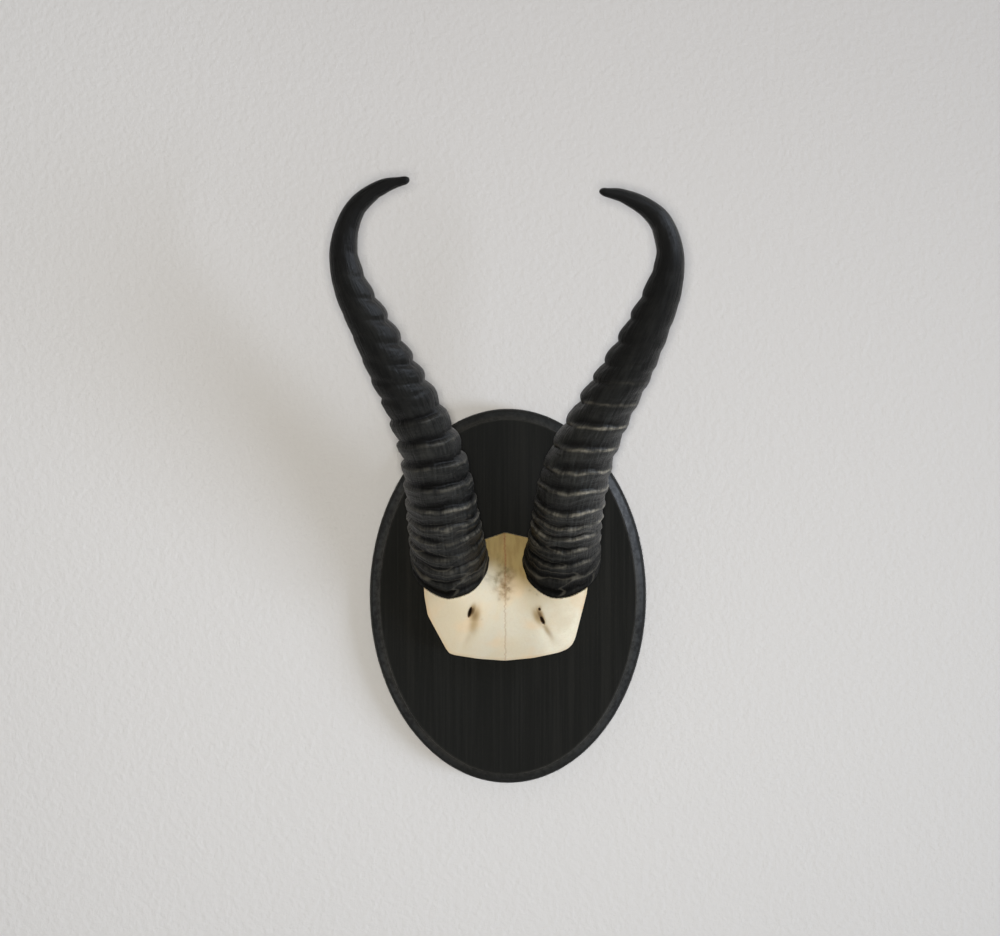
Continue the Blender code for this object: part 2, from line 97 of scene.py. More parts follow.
def smoothMax(first, second, blend):
    overlap = max(0.0, blend - abs(first - second)) / blend
    return max(first, second) + overlap * overlap * blend / 4


def meshObject(name, bm):
    mesh = bpy.data.meshes.new(name)
    bm.to_mesh(mesh)
    bm.free()
    made = bpy.data.objects.new(name, mesh)
    bpy.context.scene.collection.objects.link(made)
    return made


def turnAll(bm, matrix=faceUp):
    bmesh.ops.rotate(bm, verts=bm.verts, cent=(0, 0, 0), matrix=matrix)


def finishPiece(name, bm, material, nodeName, sharpAngle=None, cutters=()):
    bmesh.ops.recalc_face_normals(bm, faces=bm.faces)
    piece = meshObject(name, bm)
    piece.data.materials.append(material)
    if cutters:
        cutOut(piece, cutters)
    piece.data.shade_smooth()
    if sharpAngle:
        piece.data.set_sharp_from_angle(angle=radians(sharpAngle))
    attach(piece, "root")
    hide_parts(nodeName)
    print("made", name, len(piece.data.polygons), "faces")
    return piece


def cutOut(piece, cutters):
    for cutter in cutters:
        step = piece.modifiers.new(cutter.name, "BOOLEAN")
        step.operation = "DIFFERENCE"
        step.solver = "EXACT"
        step.object = cutter
    depsgraph = bpy.context.evaluated_depsgraph_get()
    mesh = bpy.data.meshes.new_from_object(piece.evaluated_get(depsgraph))
    piece.modifiers.clear()
    piece.data = mesh
    for cutter in cutters:
        bpy.data.objects.remove(cutter)


def addCutter(name, bm, place):
    # drawn flat on the board's back, heights into the board
    bmesh.ops.translate(bm, verts=bm.verts, vec=place)
    turnAll(bm)
    return meshObject(name, bm)


def roundCutter(name, x, z, radius, start, end, rise=0.0):
    # start and end are depths from the board's back, and the rise draws it out upwards into a slot
    sides = 48
    bm = bmesh.new()
    bmesh.ops.create_cone(
        bm, cap_ends=True, segments=sides, radius1=radius, radius2=radius, depth=end - start)
    turnAll(bm, Matrix.Rotation(pi / sides, 3, "Z"))
    for vert in bm.verts:
        if vert.co.y > 0:
            vert.co.y += rise
    return addCutter(name, bm, (x, z, (start + end) / 2))


painting = {}       # the node helpers below add to the material that was started last


def startMaterial(name):
    material = bpy.data.materials.new(name)
    material.use_nodes = True
    painting["tree"] = material.node_tree
    return material, material.node_tree.nodes["Principled BSDF"]


def link(output, socket):
    painting["tree"].links.new(output, socket)


def addNode(kind, **settings):
    node = painting["tree"].nodes.new(kind)
    for key, value in settings.items():
        setattr(node, key, value)
    return node


def feed(socket, value):
    if isinstance(value, bpy.types.NodeSocket):
        link(value, socket)
    else:
        socket.default_value = value


def readMark(name, output="Vector"):
    return addNode("ShaderNodeAttribute", attribute_name=name).outputs[output]


def split(vector):
    parts = addNode("ShaderNodeSeparateXYZ")
    link(vector, parts.inputs["Vector"])
    return parts.outputs


def stretch(vector, scale):
    mapping = addNode("ShaderNodeMapping")
    mapping.inputs["Scale"].default_value = scale
    link(vector, mapping.inputs["Vector"])
    return mapping.outputs["Vector"]


def objectPlace(scale=(1, 1, 1)):
    return stretch(addNode("ShaderNodeTexCoord").outputs["Object"], scale)


def mottle(vector, scale, detail, roughness):
    texture = addNode("ShaderNodeTexNoise")
    for key, setting in (("Scale", scale), ("Detail", detail), ("Roughness", roughness)):
        texture.inputs[key].default_value = setting
    link(vector, texture.inputs["Vector"])
    return texture.outputs["Fac"]


def remap(value, fromLow, fromHigh, toLow=0.0, toHigh=1.0):
    node = addNode("ShaderNodeMapRange", interpolation_type="SMOOTHSTEP")
    for key, setting in zip(("From Min", "From Max", "To Min", "To Max"), (fromLow, fromHigh, toLow, toHigh)):
        node.inputs[key].default_value = setting
    feed(node.inputs["Value"], value)
    return node.outputs["Result"]


def combine(operation, first, second):
    node = addNode("ShaderNodeMath", operation=operation)
    feed(node.inputs[0], first)
    feed(node.inputs[1], second)
    return node.outputs["Value"]


def times(first, second):
    return combine("MULTIPLY", first, second)


def plus(first, second):
    return combine("ADD", first, second)


def tint(share, first, second):
    node = addNode("ShaderNodeMix", data_type="RGBA")
    feed(node.inputs["Factor"], share)
    for socket, value in ((node.inputs[6], first), (node.inputs[7], second)):
        feed(socket, (*value, 1.0) if isinstance(value, tuple) else value)
    return node.outputs[2]


def layered(colour, hues, layers):
    for hue, share in layers:
        colour = tint(share, colour, hues[hue])
    return colour


def raiseBump(height, distance, strength, normal=None):
    bump = addNode("ShaderNodeBump")
    bump.inputs["Distance"].default_value = distance
    bump.inputs["Strength"].default_value = strength
    link(height, bump.inputs["Height"])
    if normal:
        link(normal, bump.inputs["Normal"])
    return bump.outputs["Normal"]


# horns: black, ringed in front up to about three quarters of their length, smooth at the tips
hornShape = {
    "around": 170, "firstRow": 0.1,
    "rowStep": [(0, 0.27), (62, 0.27), (72, 0.38), (130, 0.42), (165, 0.55), (200, 0.9)],
    "depthRatio": 1.12,
    "rimDepth": 3.6,
    "underRim": [      # the rounding below the rim, as shares of the width
        (-3.6, 0.60), (-3.3, 0.72), (-2.8, 0.81), (-2.2, 0.89), (-1.5, 0.95), (-0.8, 0.985), (-0.2, 1.0)],
    "tipSteps": 10, "tipStretch": 1.7,
    "firstCrest": 0.4, "firstRise": 1.5,
    "ringHeight": [(0, 1.4), (30, 1.7), (60, 2.1), (110, 2.2), (145, 1.8), (166, 1.3), (180, 0.3)],
    "frontHeight": [(0, 1.0), (95, 1.0), (125, 0.85), (150, 0.70), (175, 0.40)],   # share of it in front
    "innerHeight": [(0, 0.5), (45, 0.55), (75, 1.0)],                # and on the side towards the midline
    "lip": [(0, 0.15), (20, 0.32), (90, 0.30), (125, 0.0)],          # along each crest
    "ringLean": [(0, 40), (12, 25), (35, 19), (60, 14), (90, 12), (190, 14)],
    "tongue": [(0, 4.4), (10, 3), (25, 0.8), (45, 0)],
    "smoothUp": (168, 13),
    "wrinkles": [(0, 0.55), (38, 0.50), (60, 0.20), (85, 0.0)],
    "growthLines": [(0, 0.12), (45, 0.13), (70, 0.13), (120, 0.10), (165, 0.05), (190, 0.02)],
    "lumps": 0.22, "smallLumps": 0.07,
    "waver": [(0, 1.5), (45, 1.5), (70, 1.0), (120, 0.7), (180, 0.4)],
    "rimWaver": 0.9, "rimWaverFade": 12,
    "lipWidth": 0.55, "innerLipLoss": 0.7,
    "polishUp": (72, 45), "upperPolish": 0.6,       # the front of the upper half is smoother
}
horns = {
    "left": {
        "outward": -1, "ringTurn": 0.55,
        "stations": [
            (-30.5, -41.5, 20.0, 20.0), (-32.8, -57.5, 38.5, 18.4), (-35.1, -72.5, 58.5, 17.1),
            (-39.0, -86.0, 78.5, 15.2), (-47.0, -97.5, 99.0, 13.1), (-57.5, -108.0, 119.0, 11.6),
            (-68.0, -116.0, 140.0, 9.9), (-76.5, -121.0, 157.5, 8.3), (-79.85, -123.5, 173.5, 6.85),
            (-77.0, -125.0, 188.5, 5.5), (-71.0, -126.5, 197.7, 4.6), (-60.5, -128.9, 204.5, 3.5),
            (-51.0, -130.9, 206.85, 2.08),
        ],
        "ringSteps": [4.5, 6, 7, 7.5, 8, 9.5, 12, 12.5, 13, 13, 13, 12, 11, 12.5, 12, 12, 12, 12],
        "outerHeight": [(0, 0.9), (90, 0.95), (135, 0.25), (190, 0.2)],
        "outerPeak": 0.0, "outerValley": 0.26,
        "innerPeak": [(60, 0.0), (100, 0.0), (116, -0.06)],
        "innerValley": [(60, 0.24), (95, 0.34), (116, 0.52)],
        "bare": [(62, 19, 30, 7, 0.75), (75, 27, 20, 4, 0.5)],
        "wear": [
            (0, 0.0), (4, 0.08), (10, 0.22), (18, 0.42), (27, 0.60), (42, 0.60), (52, 0.25), (80, 0.18),
            (105, 0.0)],
        "polish": [(0, 0.45), (12, 0.75), (28, 0.95), (75, 0.93), (105, 0.56), (190, 0.62)],
    },
    "right": {
        "outward": 1, "ringTurn": 0.05,
        "stations": [
            (28.0, -41.5, 20.0, 20.0), (29.8, -57.5, 38.5, 17.9), (32.2, -72.5, 58.0, 17.3),
            (37.5, -85.5, 78.0, 15.5), (47.0, -97.5, 98.0, 13.3), (58.0, -108.0, 118.0, 11.9),
            (68.0, -116.5, 139.0, 10.2), (75.0, -121.0, 156.5, 8.6), (77.85, -123.5, 172.5, 6.75),
            (73.1, -125.5, 188.0, 5.45), (64.0, -127.0, 196.0, 4.3), (53.5, -129.0, 200.4, 3.1),
            (46.7, -130.2, 201.5, 2.1),
        ],
        "ringSteps": [5.5, 6, 8, 7.5, 6.5, 8.5, 11.5, 11, 13, 13.5, 13.5, 13, 10, 12.5, 13, 11.5, 12, 12],
        "outerHeight": [(0, 0.6), (60, 0.5), (120, 0.4), (150, 0.3), (190, 0.2)],
        "outerPeak": -0.15, "outerValley": -0.50,
        "innerPeak": [(60, 0.14), (90, 0.30)],
        "innerValley": [(60, -0.14), (90, -0.10)],
        "bare": [(35, 23, 22, 8, 0.9), (30, 14, 14, 4, 0.5)],
        "wear": [(0, 0.0), (4, 0.08), (10, 0.30), (18, 0.60), (27, 1.0), (98, 1.0), (118, 0.1), (130, 0.0)],
        "polish": [
            (0, 0.30), (14, 0.55), (32, 1.24), (75, 1.24), (110, 0.70), (140, 0.52), (175, 0.50),
            (200, 0.87)],
    },
}
rings = {       # how a ring changes on its way round; a pair is where a change starts and its length
    "frontPeak": 0.0, "frontValley": 0.2,
    "bulge": 1.7, "innerBulge": 1.9,
    "waverAround": 1.3, "waverAlong": 0.035, "waverApart": 7,
    "waverParts": [(1.0, 1.0), (2.7, 0.5), (6.5, 0.22)],        # scale and size
    "innerSide": (0.5, 0.42), "innerUp": (40, 30), "outerSide": (0.45, 0.45),
    "innerBlend": (0.1, 0.7), "outerBlend": 0.8,
    "softUp": (92, 25), "softInner": (0.6, 0.4),
    "softPlace": 0.12, "softDepth": 0.72, "softWidth": 0.17, "softSlant": 0.6, "downFrom": 0.3,
    "unevenAround": 1.6, "unevenStep": 3.1, "uneven": 0.35,
    "backDepth": 0.72, "frontDepth": 0.28, "depthFrom": -0.8,
    "grooveDirtAndShadeLoss": 0.8, "grooveDirtAndShadeUp": (80, 50),
}
skin = {        # between the rings; fold and fine are a scale round the horn, one along it, and a start
    "from": 0.5, "fold": (0.9, 0.30, 3), "fine": (2.1, 0.8, 5),
    "foldLevel": 0.4, "fineLevel": 0.35, "foldDirtAndShade": 0.30,
    "lumpAround": 20, "lumpScale": 0.11, "smallLumpScale": 0.45, "tipLumps": 0.35, "ringLumps": 0.65,
    "raggedAround": 2.4, "raggedStart": 40.0,
    "worn": (-0.25, 0.8), "litSidePolish": (-0.7, 0.8),      # crests are painted paler and more polished on their right: painted highlight there, and painted shade on the left through the dull colour
    "leastLitSideWear": 0.35, "leastLitSidePolish": 0.6, "ridge": 2.6,
}


def hornLine(stations):
    # smooth curve through the stations, read by distance from the rim in metres
    points = [Vector(station) * mm for station in stations]
    places = [0.0]
    for first, last in zip(points, points[1:]):
        places.append(places[-1] + (last - first).xyz.length)
    slopes = []
    for i in range(len(points)):
        low, high = max(0, i - 1), min(len(points) - 1, i + 1)
        slopes.append((points[high] - points[low]) / (places[high] - places[low]))

    def read(distance):
        inside = min(places[-1], max(0.0, distance))
        i = min(len(points) - 2, max(0, bisect_right(places, inside) - 1))
        span = places[i + 1] - places[i]
        t = (inside - places[i]) / span
        first, last, leaving, arriving = points[i], points[i + 1], slopes[i], slopes[i + 1]
        value = first * (2 * t ** 3 - 3 * t ** 2 + 1) + last * (3 * t ** 2 - 2 * t ** 3)
        value += span * (leaving * (t ** 3 - 2 * t ** 2 + t) + arriving * (t ** 3 - t ** 2))
        rate = (first - last) * (6 * t ** 2 - 6 * t) / span
        rate += leaving * (3 * t ** 2 - 4 * t + 1) + arriving * (3 * t ** 2 - 2 * t)
        along = rate.xyz.normalized()
        return value.xyz + along * (distance - inside), value.w, along

    return read, places[-1]


def hornRows(length, tipRadius):
    # (distance in millimetres, share of the width) of each row, from under the rim to the tip
    rows = list(hornShape["underRim"])
    place = hornShape["firstRow"]
    while place < length / mm:
        rows.append((place, 1.0))
        place += readTable(hornShape["rowStep"], place)
    steps = hornShape["tipSteps"]
    for step in range(steps + 1):
        turn = pi / 2 * step / steps
        rows.append(((length + hornShape["tipStretch"] * tipRadius * sin(turn)) / mm, cos(turn)))
    return rows


def sawShape(phase, peak, valley, bulge, ledge=None):
    # 0 at the valley and 1 at the peak, once round for each ring; the longer side bulges
    above = (phase - valley) % 1.0
    rise = (peak - valley) % 1.0
    if above < rise:
        t, long = above / rise, rise > 0.5
    else:
        t, long = (1 - above) / (1 - rise), rise <= 0.5
    if long:
        return 1 - (1 - t) ** bulge
    return 1 - (1 - t) ** ledge if ledge else ease(t)


def ridged(spot):
    # thin lines that wander, fork and fade
    return 1 - min(1.0, skin["ridge"] * abs(noise.noise(spot)))


def aroundSpot(side, front, scale, height):
    return Vector((side * scale, front * scale, height))


def ringRelief(horn, crests, angle, place):
    # share of the ring height, place along the rings, distance from a crest, its wear, and the groove's dirt
    # and painted shade
    side, front = cos(angle), sin(angle)
    outward = side * horn["outward"]
    level = place * rings["waverAlong"] + rings["waverApart"] * horn["outward"]
    spot = aroundSpot(side, front, rings["waverAround"], level)
    waver = sum(size * noise.noise(spot * scale) for scale, size in rings["waverParts"])
    at = place + waver * readTable(hornShape["waver"], place)
    i = min(len(crests) - 2, max(0, bisect_right(crests, at) - 1))
    phase = i + (at - crests[i]) / (crests[i + 1] - crests[i])
    frontShape = sawShape(phase, rings["frontPeak"], rings["frontValley"], rings["bulge"])
    outerShape = sawShape(phase, horn["outerPeak"], horn["outerValley"], rings["bulge"])
    innerPeak, innerValley = readTable(horn["innerPeak"], place), readTable(horn["innerValley"], place)
    innerShape = sawShape(phase, innerPeak, innerValley, rings["innerBulge"], rings["innerBulge"])
    inner = ramp(-outward, *rings["innerSide"]) * ramp(place, *rings["innerUp"])
    outer = ramp(outward, *rings["outerSide"])
    # higher up the grooves are soft and narrow, and slant evenly to the notches of the inner side
    soft = ramp(place, *rings["softUp"])
    slant = innerValley - rings["softPlace"] - (1 if innerValley > rings["downFrom"] else 0)
    across = min(1.0, max(0.0, 0.5 - rings["softSlant"] * outward))
    gap = (phase - rings["softPlace"] - slant * across + 0.5) % 1.0 - 0.5
    frontShape += soft * (1 - rings["softDepth"] * exp(-(gap / rings["softWidth"]) ** 2) - frontShape)
    inner += soft * (ramp(inner, *rings["softInner"]) - inner)
    shape = frontShape + (innerShape - frontShape) * inner + (outerShape - frontShape) * outer
    # each groove is deeper in places, and dies out where the horn is bare
    level = round(phase - rings["frontValley"]) * rings["unevenStep"]
    depth = 1 + rings["uneven"] * noise.noise(aroundSpot(side, front, rings["unevenAround"], level))
    for centre, height, spread, reach, strength in horn["bare"]:
        turn = (degrees(angle) - centre + 180) % 360 - 180
        depth *= 1 - strength * exp(-(turn / spread) ** 2 - ((at - height) / reach) ** 2)
    depth *= rings["backDepth"] + rings["frontDepth"] * ease(front - rings["depthFrom"])
    relief = 1 - (1 - shape) * depth
    away = min(abs(at - crests[i]), abs(crests[i + 1] - at))
    wear = min(1.0, depth) * readTable(horn["wear"], place)
    # the groove is painted dark, partly dirt and partly painted shade in the hollow, less of it up the horn
    groove = (1 - relief) * (1 - rings["grooveDirtAndShadeLoss"] * ramp(place, *rings["grooveDirtAndShadeUp"]))
    return relief - 0.5, at, away, wear, groove


def hornRow(horn, read, place, share):
    # what is the same all round one row
    centre, halfWidth, along = read(place * mm)
    across = Vector((along.z, 0, -along.x)).normalized()
    fade = 1 - ramp(place, *hornShape["smoothUp"])
    lean = radians(readTable(hornShape["ringLean"], place))
    row = {
        "place": place, "share": share, "centre": centre, "halfWidth": halfWidth, "along": along,
        "across": across, "front": across.cross(along), "fade": fade,
        "sideways": tan(atan2(along.x, along.z) * (1 - horn["ringTurn"]) * fade),
        "forward": tan((atan2(-along.y, hypot(along.x, along.z)) - lean) * fade),
        "smooth": hornShape["upperPolish"] * ramp(place, *hornShape["polishUp"]),
        "ragged": 1 - ramp(place, -hornShape["rimDepth"], hornShape["rimWaverFade"]),
    }
    for key in ("outerHeight", "polish"):
        row[key] = readTable(horn[key], place)
    for key in ("frontHeight", "innerHeight", "wrinkles"):
        row[key] = readTable(hornShape[key], place)
    for key in ("tongue", "ringHeight", "growthLines", "lip"):
        row[key] = readTable(hornShape[key], place) * mm
    row["tongue"] *= ramp(place, -hornShape["rimDepth"], hornShape["rimDepth"])
    row["ringHeight"] *= ramp(place, -hornShape["firstRise"], hornShape["firstRise"])
    return row


def hornPoint(horn, crests, row, angle):
    # where a point lies, its place in the grain, and the two sets of marks for the material
    side, front = cos(angle), sin(angle)
    outward = side * horn["outward"]
    relief, at, away, wear, groove = ringRelief(horn, crests, angle, row["place"])
    outer = ease(0.5 + outward * rings["outerBlend"])
    inner = ramp(-outward, *rings["innerBlend"])
    height = row["ringHeight"] * (row["frontHeight"] + (row["innerHeight"] - row["frontHeight"]) * inner)
    base = row["halfWidth"] * row["share"]
    radius = base + height * relief * (1 + (row["outerHeight"] - 1) * outer)
    fold = 0.0
    if row["place"] > skin["from"] and row["share"] == 1:
        innerLip = 1 - hornShape["innerLipLoss"] * inner
        radius += row["lip"] * wear * innerLip * exp(-(away / hornShape["lipWidth"]) ** 2)
        fold, fine = (ridged(aroundSpot(side, front, scale, at * pace + start))
                      for scale, pace, start in (skin["fold"], skin["fine"]))
        radius += row["wrinkles"] * mm * (fold - skin["foldLevel"])
        radius += row["growthLines"] * (fine - skin["fineLevel"])
        # the creases between the wrinkles are painted dark too: dirt and painted shade
        groove = max(groove, row["wrinkles"] * ease((skin["foldDirtAndShade"] - fold) / skin["foldDirtAndShade"]))
        spot = aroundSpot(side, front, skin["lumpAround"], at)
        lump = noise.noise(spot * skin["lumpScale"]) * hornShape["lumps"]
        lump += noise.noise(spot * skin["smallLumpScale"]) * hornShape["smallLumps"]
        lump = lump * mm * (skin["tipLumps"] + skin["ringLumps"] * row["fade"])
        radius += lump * row["halfWidth"] / (skin["lumpAround"] * mm)
    sideOffset = radius * side
    frontOffset = (radius + base * (hornShape["depthRatio"] - 1)) * front
    shift = sideOffset * row["sideways"] + frontOffset * row["forward"]
    shift -= row["tongue"] * max(0.0, front) ** 2
    level = skin["raggedStart"] + horn["outward"]
    ragged = noise.noise(aroundSpot(side, front, skin["raggedAround"], level))
    shift += hornShape["rimWaver"] * mm * ragged * row["ragged"]
    point = row["centre"] + row["across"] * sideOffset + row["front"] * frontOffset
    point += row["along"] * shift
    inGrain = Vector((side * row["halfWidth"] / mm, front * row["halfWidth"] / mm, at))
    mark = Vector((away, groove * row["fade"], max(1 - row["fade"], row["smooth"])))
    # wear and polish rise towards the right side, where the light comes from: painted highlight on the
    # crests, and painted shade on the left
    least, gloss = skin["leastLitSideWear"], skin["leastLitSidePolish"]
    litSideShare = least + (1 - least) * ramp(side, *skin["worn"])
    polish = row["polish"] * (gloss + (1 - gloss) * ramp(side, *skin["litSidePolish"]))
    return point, inGrain, mark, Vector((wear * litSideShare * row["fade"], row["wrinkles"] * fold, polish))


def makeHorn(name, material):
    horn = horns[name]
    read, length = hornLine(horn["stations"])
    rows = hornRows(length, horn["stations"][-1][3] * mm)
    table = [hornRow(horn, read, place, share) for place, share in rows]
    crests = [hornShape["firstCrest"]]
    for step in horn["ringSteps"]:
        crests.append(crests[-1] + step)
    around = hornShape["around"]
    bm = bmesh.new()
    bmesh.ops.create_grid(bm, x_segments=around, y_segments=len(rows) - 1, size=0.5)
    grain, marks, wearAndLitSide = (bm.verts.layers.float_vector.new(mark) for mark in ("grain", "marks", "wearAndLitSide"))
    for vert in bm.verts:
        row = table[round((vert.co.y + 0.5) * (len(rows) - 1))]
        angle = 2 * pi * (round((vert.co.x + 0.5) * around) % around) / around - pi / 2
        vert.co, vert[grain], vert[marks], vert[wearAndLitSide] = hornPoint(horn, crests, row, angle)
    bmesh.ops.remove_doubles(bm, verts=[vert for vert in bm.verts if vert.is_boundary], dist=tiny / 10)
    bmesh.ops.holes_fill(bm, edges=[edge for edge in bm.edges if edge.is_boundary])
    return finishPiece("ringed_horn_" + name, bm, material, "horn_" + name)


hornHues = {
    "dark": (0.0066, 0.0070, 0.0066), "light": (0.0230, 0.0235, 0.0220), "patch": (0.027, 0.0270, 0.0240),
    "growth": (0.0035, 0.0035, 0.0035), "groove": (0.0014, 0.0014, 0.0014), "scoredAndPaintedSheen": (0.040, 0.045, 0.045),
    "dull": (0.0034, 0.0035, 0.0036), "smooth": (0.0046, 0.0047, 0.0050), "worn": (0.370, 0.340, 0.270),
}


def hornMaterial():
    material, shader = startMaterial("blackHorn")
    grain = readMark("grain")
    away, groove, smooth = split(readMark("marks"))
    wear, fold, polish = split(readMark("wearAndLitSide"))
    striae = mottle(stretch(grain, (0.85, 0.85, 0.05)), 1.0, 4.0, 0.65)
    growth = mottle(stretch(grain, (0.10, 0.10, 1.3)), 1.0, 4.0, 0.6)
    patches = mottle(grain, 0.16, 3.0, 0.55)
    speck = mottle(stretch(grain, (0.45, 0.45, 1.2)), 1.0, 3.0, 0.6)
    black = tint(remap(striae, 0.35, 0.7), hornHues["dark"], hornHues["light"])
    # the pale worn line along each crest is broken by patches and by lines down the horn; painted stronger on
    # the right side, it is partly a painted highlight
    line = remap(plus(away, times(speck, 1.3)), 0.45, 2.15, 1.0, 0.0)
    broken = remap(striae, 0.35, 0.6, 0.45, 1.0)
    broken = times(remap(patches, 0.38, 0.62, 0.2, 1.0), broken)
    worn = times(times(line, wear), broken)
    worn = plus(worn, times(remap(fold, 0.42, 0.55), 0.16))
    black = layered(black, hornHues, [
        ("patch", remap(patches, 0.45, 0.75, 0.0, 0.55)),
        ("growth", remap(growth, 0.52, 0.68, 0.0, 0.35)),
        # the groove colour is dirt and painted shade in the grooves and creases
        ("groove", remap(groove, 0.30, 0.75, 0.0, 0.95)),
        # pale grey-blue on the worn striae, strongest on the right: partly scored horn, partly painted sheen
        ("scoredAndPaintedSheen", times(remap(striae, 0.47, 0.66), times(wear, 0.55))),
        # darker where polish is low, at the bases and on the left side: painted shade on the left
        ("dull", remap(polish, 0.20, 0.70, 0.65, 0.0)),
        ("smooth", times(smooth, 0.85)),
        ("worn", times(worn, 0.85)),
    ])
    feed(shader.inputs["Base Color"], black)
    coarse = plus(striae, times(smooth, -0.35))
    dull = remap(polish, 0.25, 0.60, 0.20, 0.0)
    feed(shader.inputs["Roughness"], plus(dull, remap(coarse, 0.0, 0.9, 0.30, 0.58)))
    feed(shader.inputs["Specular IOR Level"], times(polish, 0.5))
    roughen = raiseBump(striae, 0.0008, 0.7)
    roughen = raiseBump(growth, 0.00035, 0.3, roughen)
    feed(shader.inputs["Normal"], roughen)
    return material


blackHorn = hornMaterial()
hornPieces = {name: makeHorn(name, blackHorn) for name in horns}
print("horns done")


# skull cap: heights are above the board's front, widths from the bone's own midline
bone = {
    "midline": -0.0016,
    "cells": 250,
    "crestHeight": 0.0305, "crestZ": 0.004,
    "frontReach": 0.037, "frontDrop": 0.0155,
    "rearReach": 0.032, "rearDrop": 0.0225, "rearCurve": 1.5,
    "sideFall": 5.5, "rearSideFall": 26.0,
    "browX": 0.029, "browZ": -0.012, "browRise": 0.0022, "browSpread": 0.011, "browSoft": 1.5,
    "grooveDepth": 0.0026, "grooveSpread": 0.0032, "grooveStart": 4, "grooveFade": 0.75,
    "grooveTop": -0.005, "grooveBottom": -0.034,
    "grooveLine": {          # millimetres up, then millimetres from the midline
        "left": [(-31, -24.5), (-22, -20.0), (-13, -17.4), (-6, -18.4)],
        "right": [(-30, 27.0), (-20, 23.4), (-13, 20.4), (-6, 18.4)],
    },
    "seatRise": -0.0018, "seatSlope": 0.65, "seatBlend": 0.006,
    "outline": [
        (0, 34.8), (12.5, 32.0), (29, 30), (39, 22), (43, 10), (42.5, 4.5), (40, -6.5), (37, -20.5),
        (35.5, -24), (33, -26.5), (28.5, -28.5), (15, -31.5), (0, -33), (-14, -32), (-26.5, -30),
        (-29.5, -29), (-31.5, -26), (-40.5, -7.5), (-42, 2.5), (-42.5, 10), (-39, 22), (-29, 29),
        (-12.5, 30.6),
    ],
    "cornerRound": 1.2, "middle": (0, 0.001), "rim": (0.94, 0.06),
    "seatGap": 0.0003, "seatReach": 0.06,
    "sawSteps": 2, "sawStep": 0.25 * mm,        # small steps down the sawn side, then one to the board
    "boardGap": 0.0003,
    "sharpAngle": 50,
    "sutureWidenBy": 0.02,
    # from here on in millimetres
    "swell": [(0.14, 0.10), (0.6, 0.035)],        # scale and height of the small swells
    "sutureWaves": [(0.8, 3.1, 0.75), (0.12, 9.2, 0.7)],
    "sutureWidth": 0.36, "sutureWiden": 0.16, "sutureDepth": 0.12,
    "ochreAndShade": {
        "edge": 7.8, "slope": 0.52, "reach": 10, "lead": 2.5, "fade": 15,
        "waver": 1.5, "across": 0.2, "row": 1.7, "up": 0.1,
    },
    "stainWarp": (1.2, 0.35, 8.0), "stainBase": 0.95, "stainRough": [(0.8, 0.45, 2.0), (0.35, 1.1, 5.0)],
    "pitEdge": 1.25, "pitSoft": 0.6,
    "pits": [  # x, z, lean in degrees, half width, half height, depth
        (-18.5, -6.0, 16, 0.85, 2.9, 3.0),
        (19.5, -10.4, -25, 0.90, 2.4, 2.6),
        (17.9, -4.3, -20, 0.7, 0.9, 0.35),
    ],
    "halos": [  # painted brown shade beside each pit and down the grooves below: x, z, lean, half width, half height, strength
        (-17.0, -5.4, 14, 1.8, 3.8, 1.5),
        (-15.8, -7.8, 12, 2.8, 5.2, 1.1),
        (-16.6, -12.6, 12, 2.8, 6.8, 0.72),
        (-19.2, -19.6, 24, 2.1, 8.0, 0.36),
        (18.2, -7.4, -22, 1.8, 4.4, 1.4),
        (17.1, -8.6, -24, 2.5, 5.2, 1.0),
        (22.0, -15.8, -32, 1.6, 6.5, 0.75),
        (17.9, -3.6, 0, 1.4, 1.7, 0.7),
    ],
    "blots": [  # stain between the horns: x, z, size, strength
        (-3.7, 22.3, 1.6, 0.28), (0.6, 16.0, 1.8, 0.50), (4.1, 15.0, 2.0, 0.40), (-8.5, 11.8, 2.2, 0.34),
        (-3.7, 10.8, 2.1, 0.50), (1.9, 11.8, 2.2, 0.58), (0.2, 7.4, 2.6, 0.60), (-2.6, 14.2, 2.0, 0.30),
        (-3.0, 1.3, 1.3, 0.42), (0.3, 1.3, 1.5, 0.45), (-5.5, 6.4, 2.0, 0.26), (2.8, 4.6, 1.8, 0.32),
        (-2.2, 18.6, 1.4, 0.24), (-1.4, 4.2, 1.7, 0.30), (-0.6, 9.8, 5.6, 0.26), (-1.0, 18.0, 4.2, 0.18),
        (-1.2, 3.8, 3.4, 0.16), (-12.2, -10.0, 0.7, 0.35), (13.2, 5.0, 0.6, 0.35), (16.9, 3.4, 0.6, 0.35),
    ],
}
boneScrews = {      # two from behind, through the board into the bone; depths from the board's back
    "places": {"upper": 0.017, "lower": -0.013},
    "bore": 0.0024, "boreStart": 0.017, "boreEnd": 0.0327,
    "counterbore": 0.0052, "counterboreDepth": 0.0060,
}


def seatHeight(name, x, z):
    horn = horns[name]
    seatX, seatY, seatZ, seatWidth = (value * mm for value in horn["stations"][0])
    lean = radians(hornShape["ringLean"][0][1])
    slope = -tan(pi / 2 - lean)
    centreX, centreHeight = seatX - bone["midline"], -seatY - boardThickness
    halfHeight = seatWidth * hornShape["depthRatio"] * sin(lean) + hornShape["tongue"][0][1] * mm / 2
    reach = hypot((x - centreX) / seatWidth, (z - seatZ) / halfHeight)
    if reach <= 1:
        return centreHeight + slope * (z - seatZ) + bone["seatRise"]
    rimZ = seatZ + (z - seatZ) / reach
    rimHeight = centreHeight + slope * (rimZ - seatZ) + bone["seatRise"]
    return rimHeight - (reach - 1) * seatWidth * bone["seatSlope"]


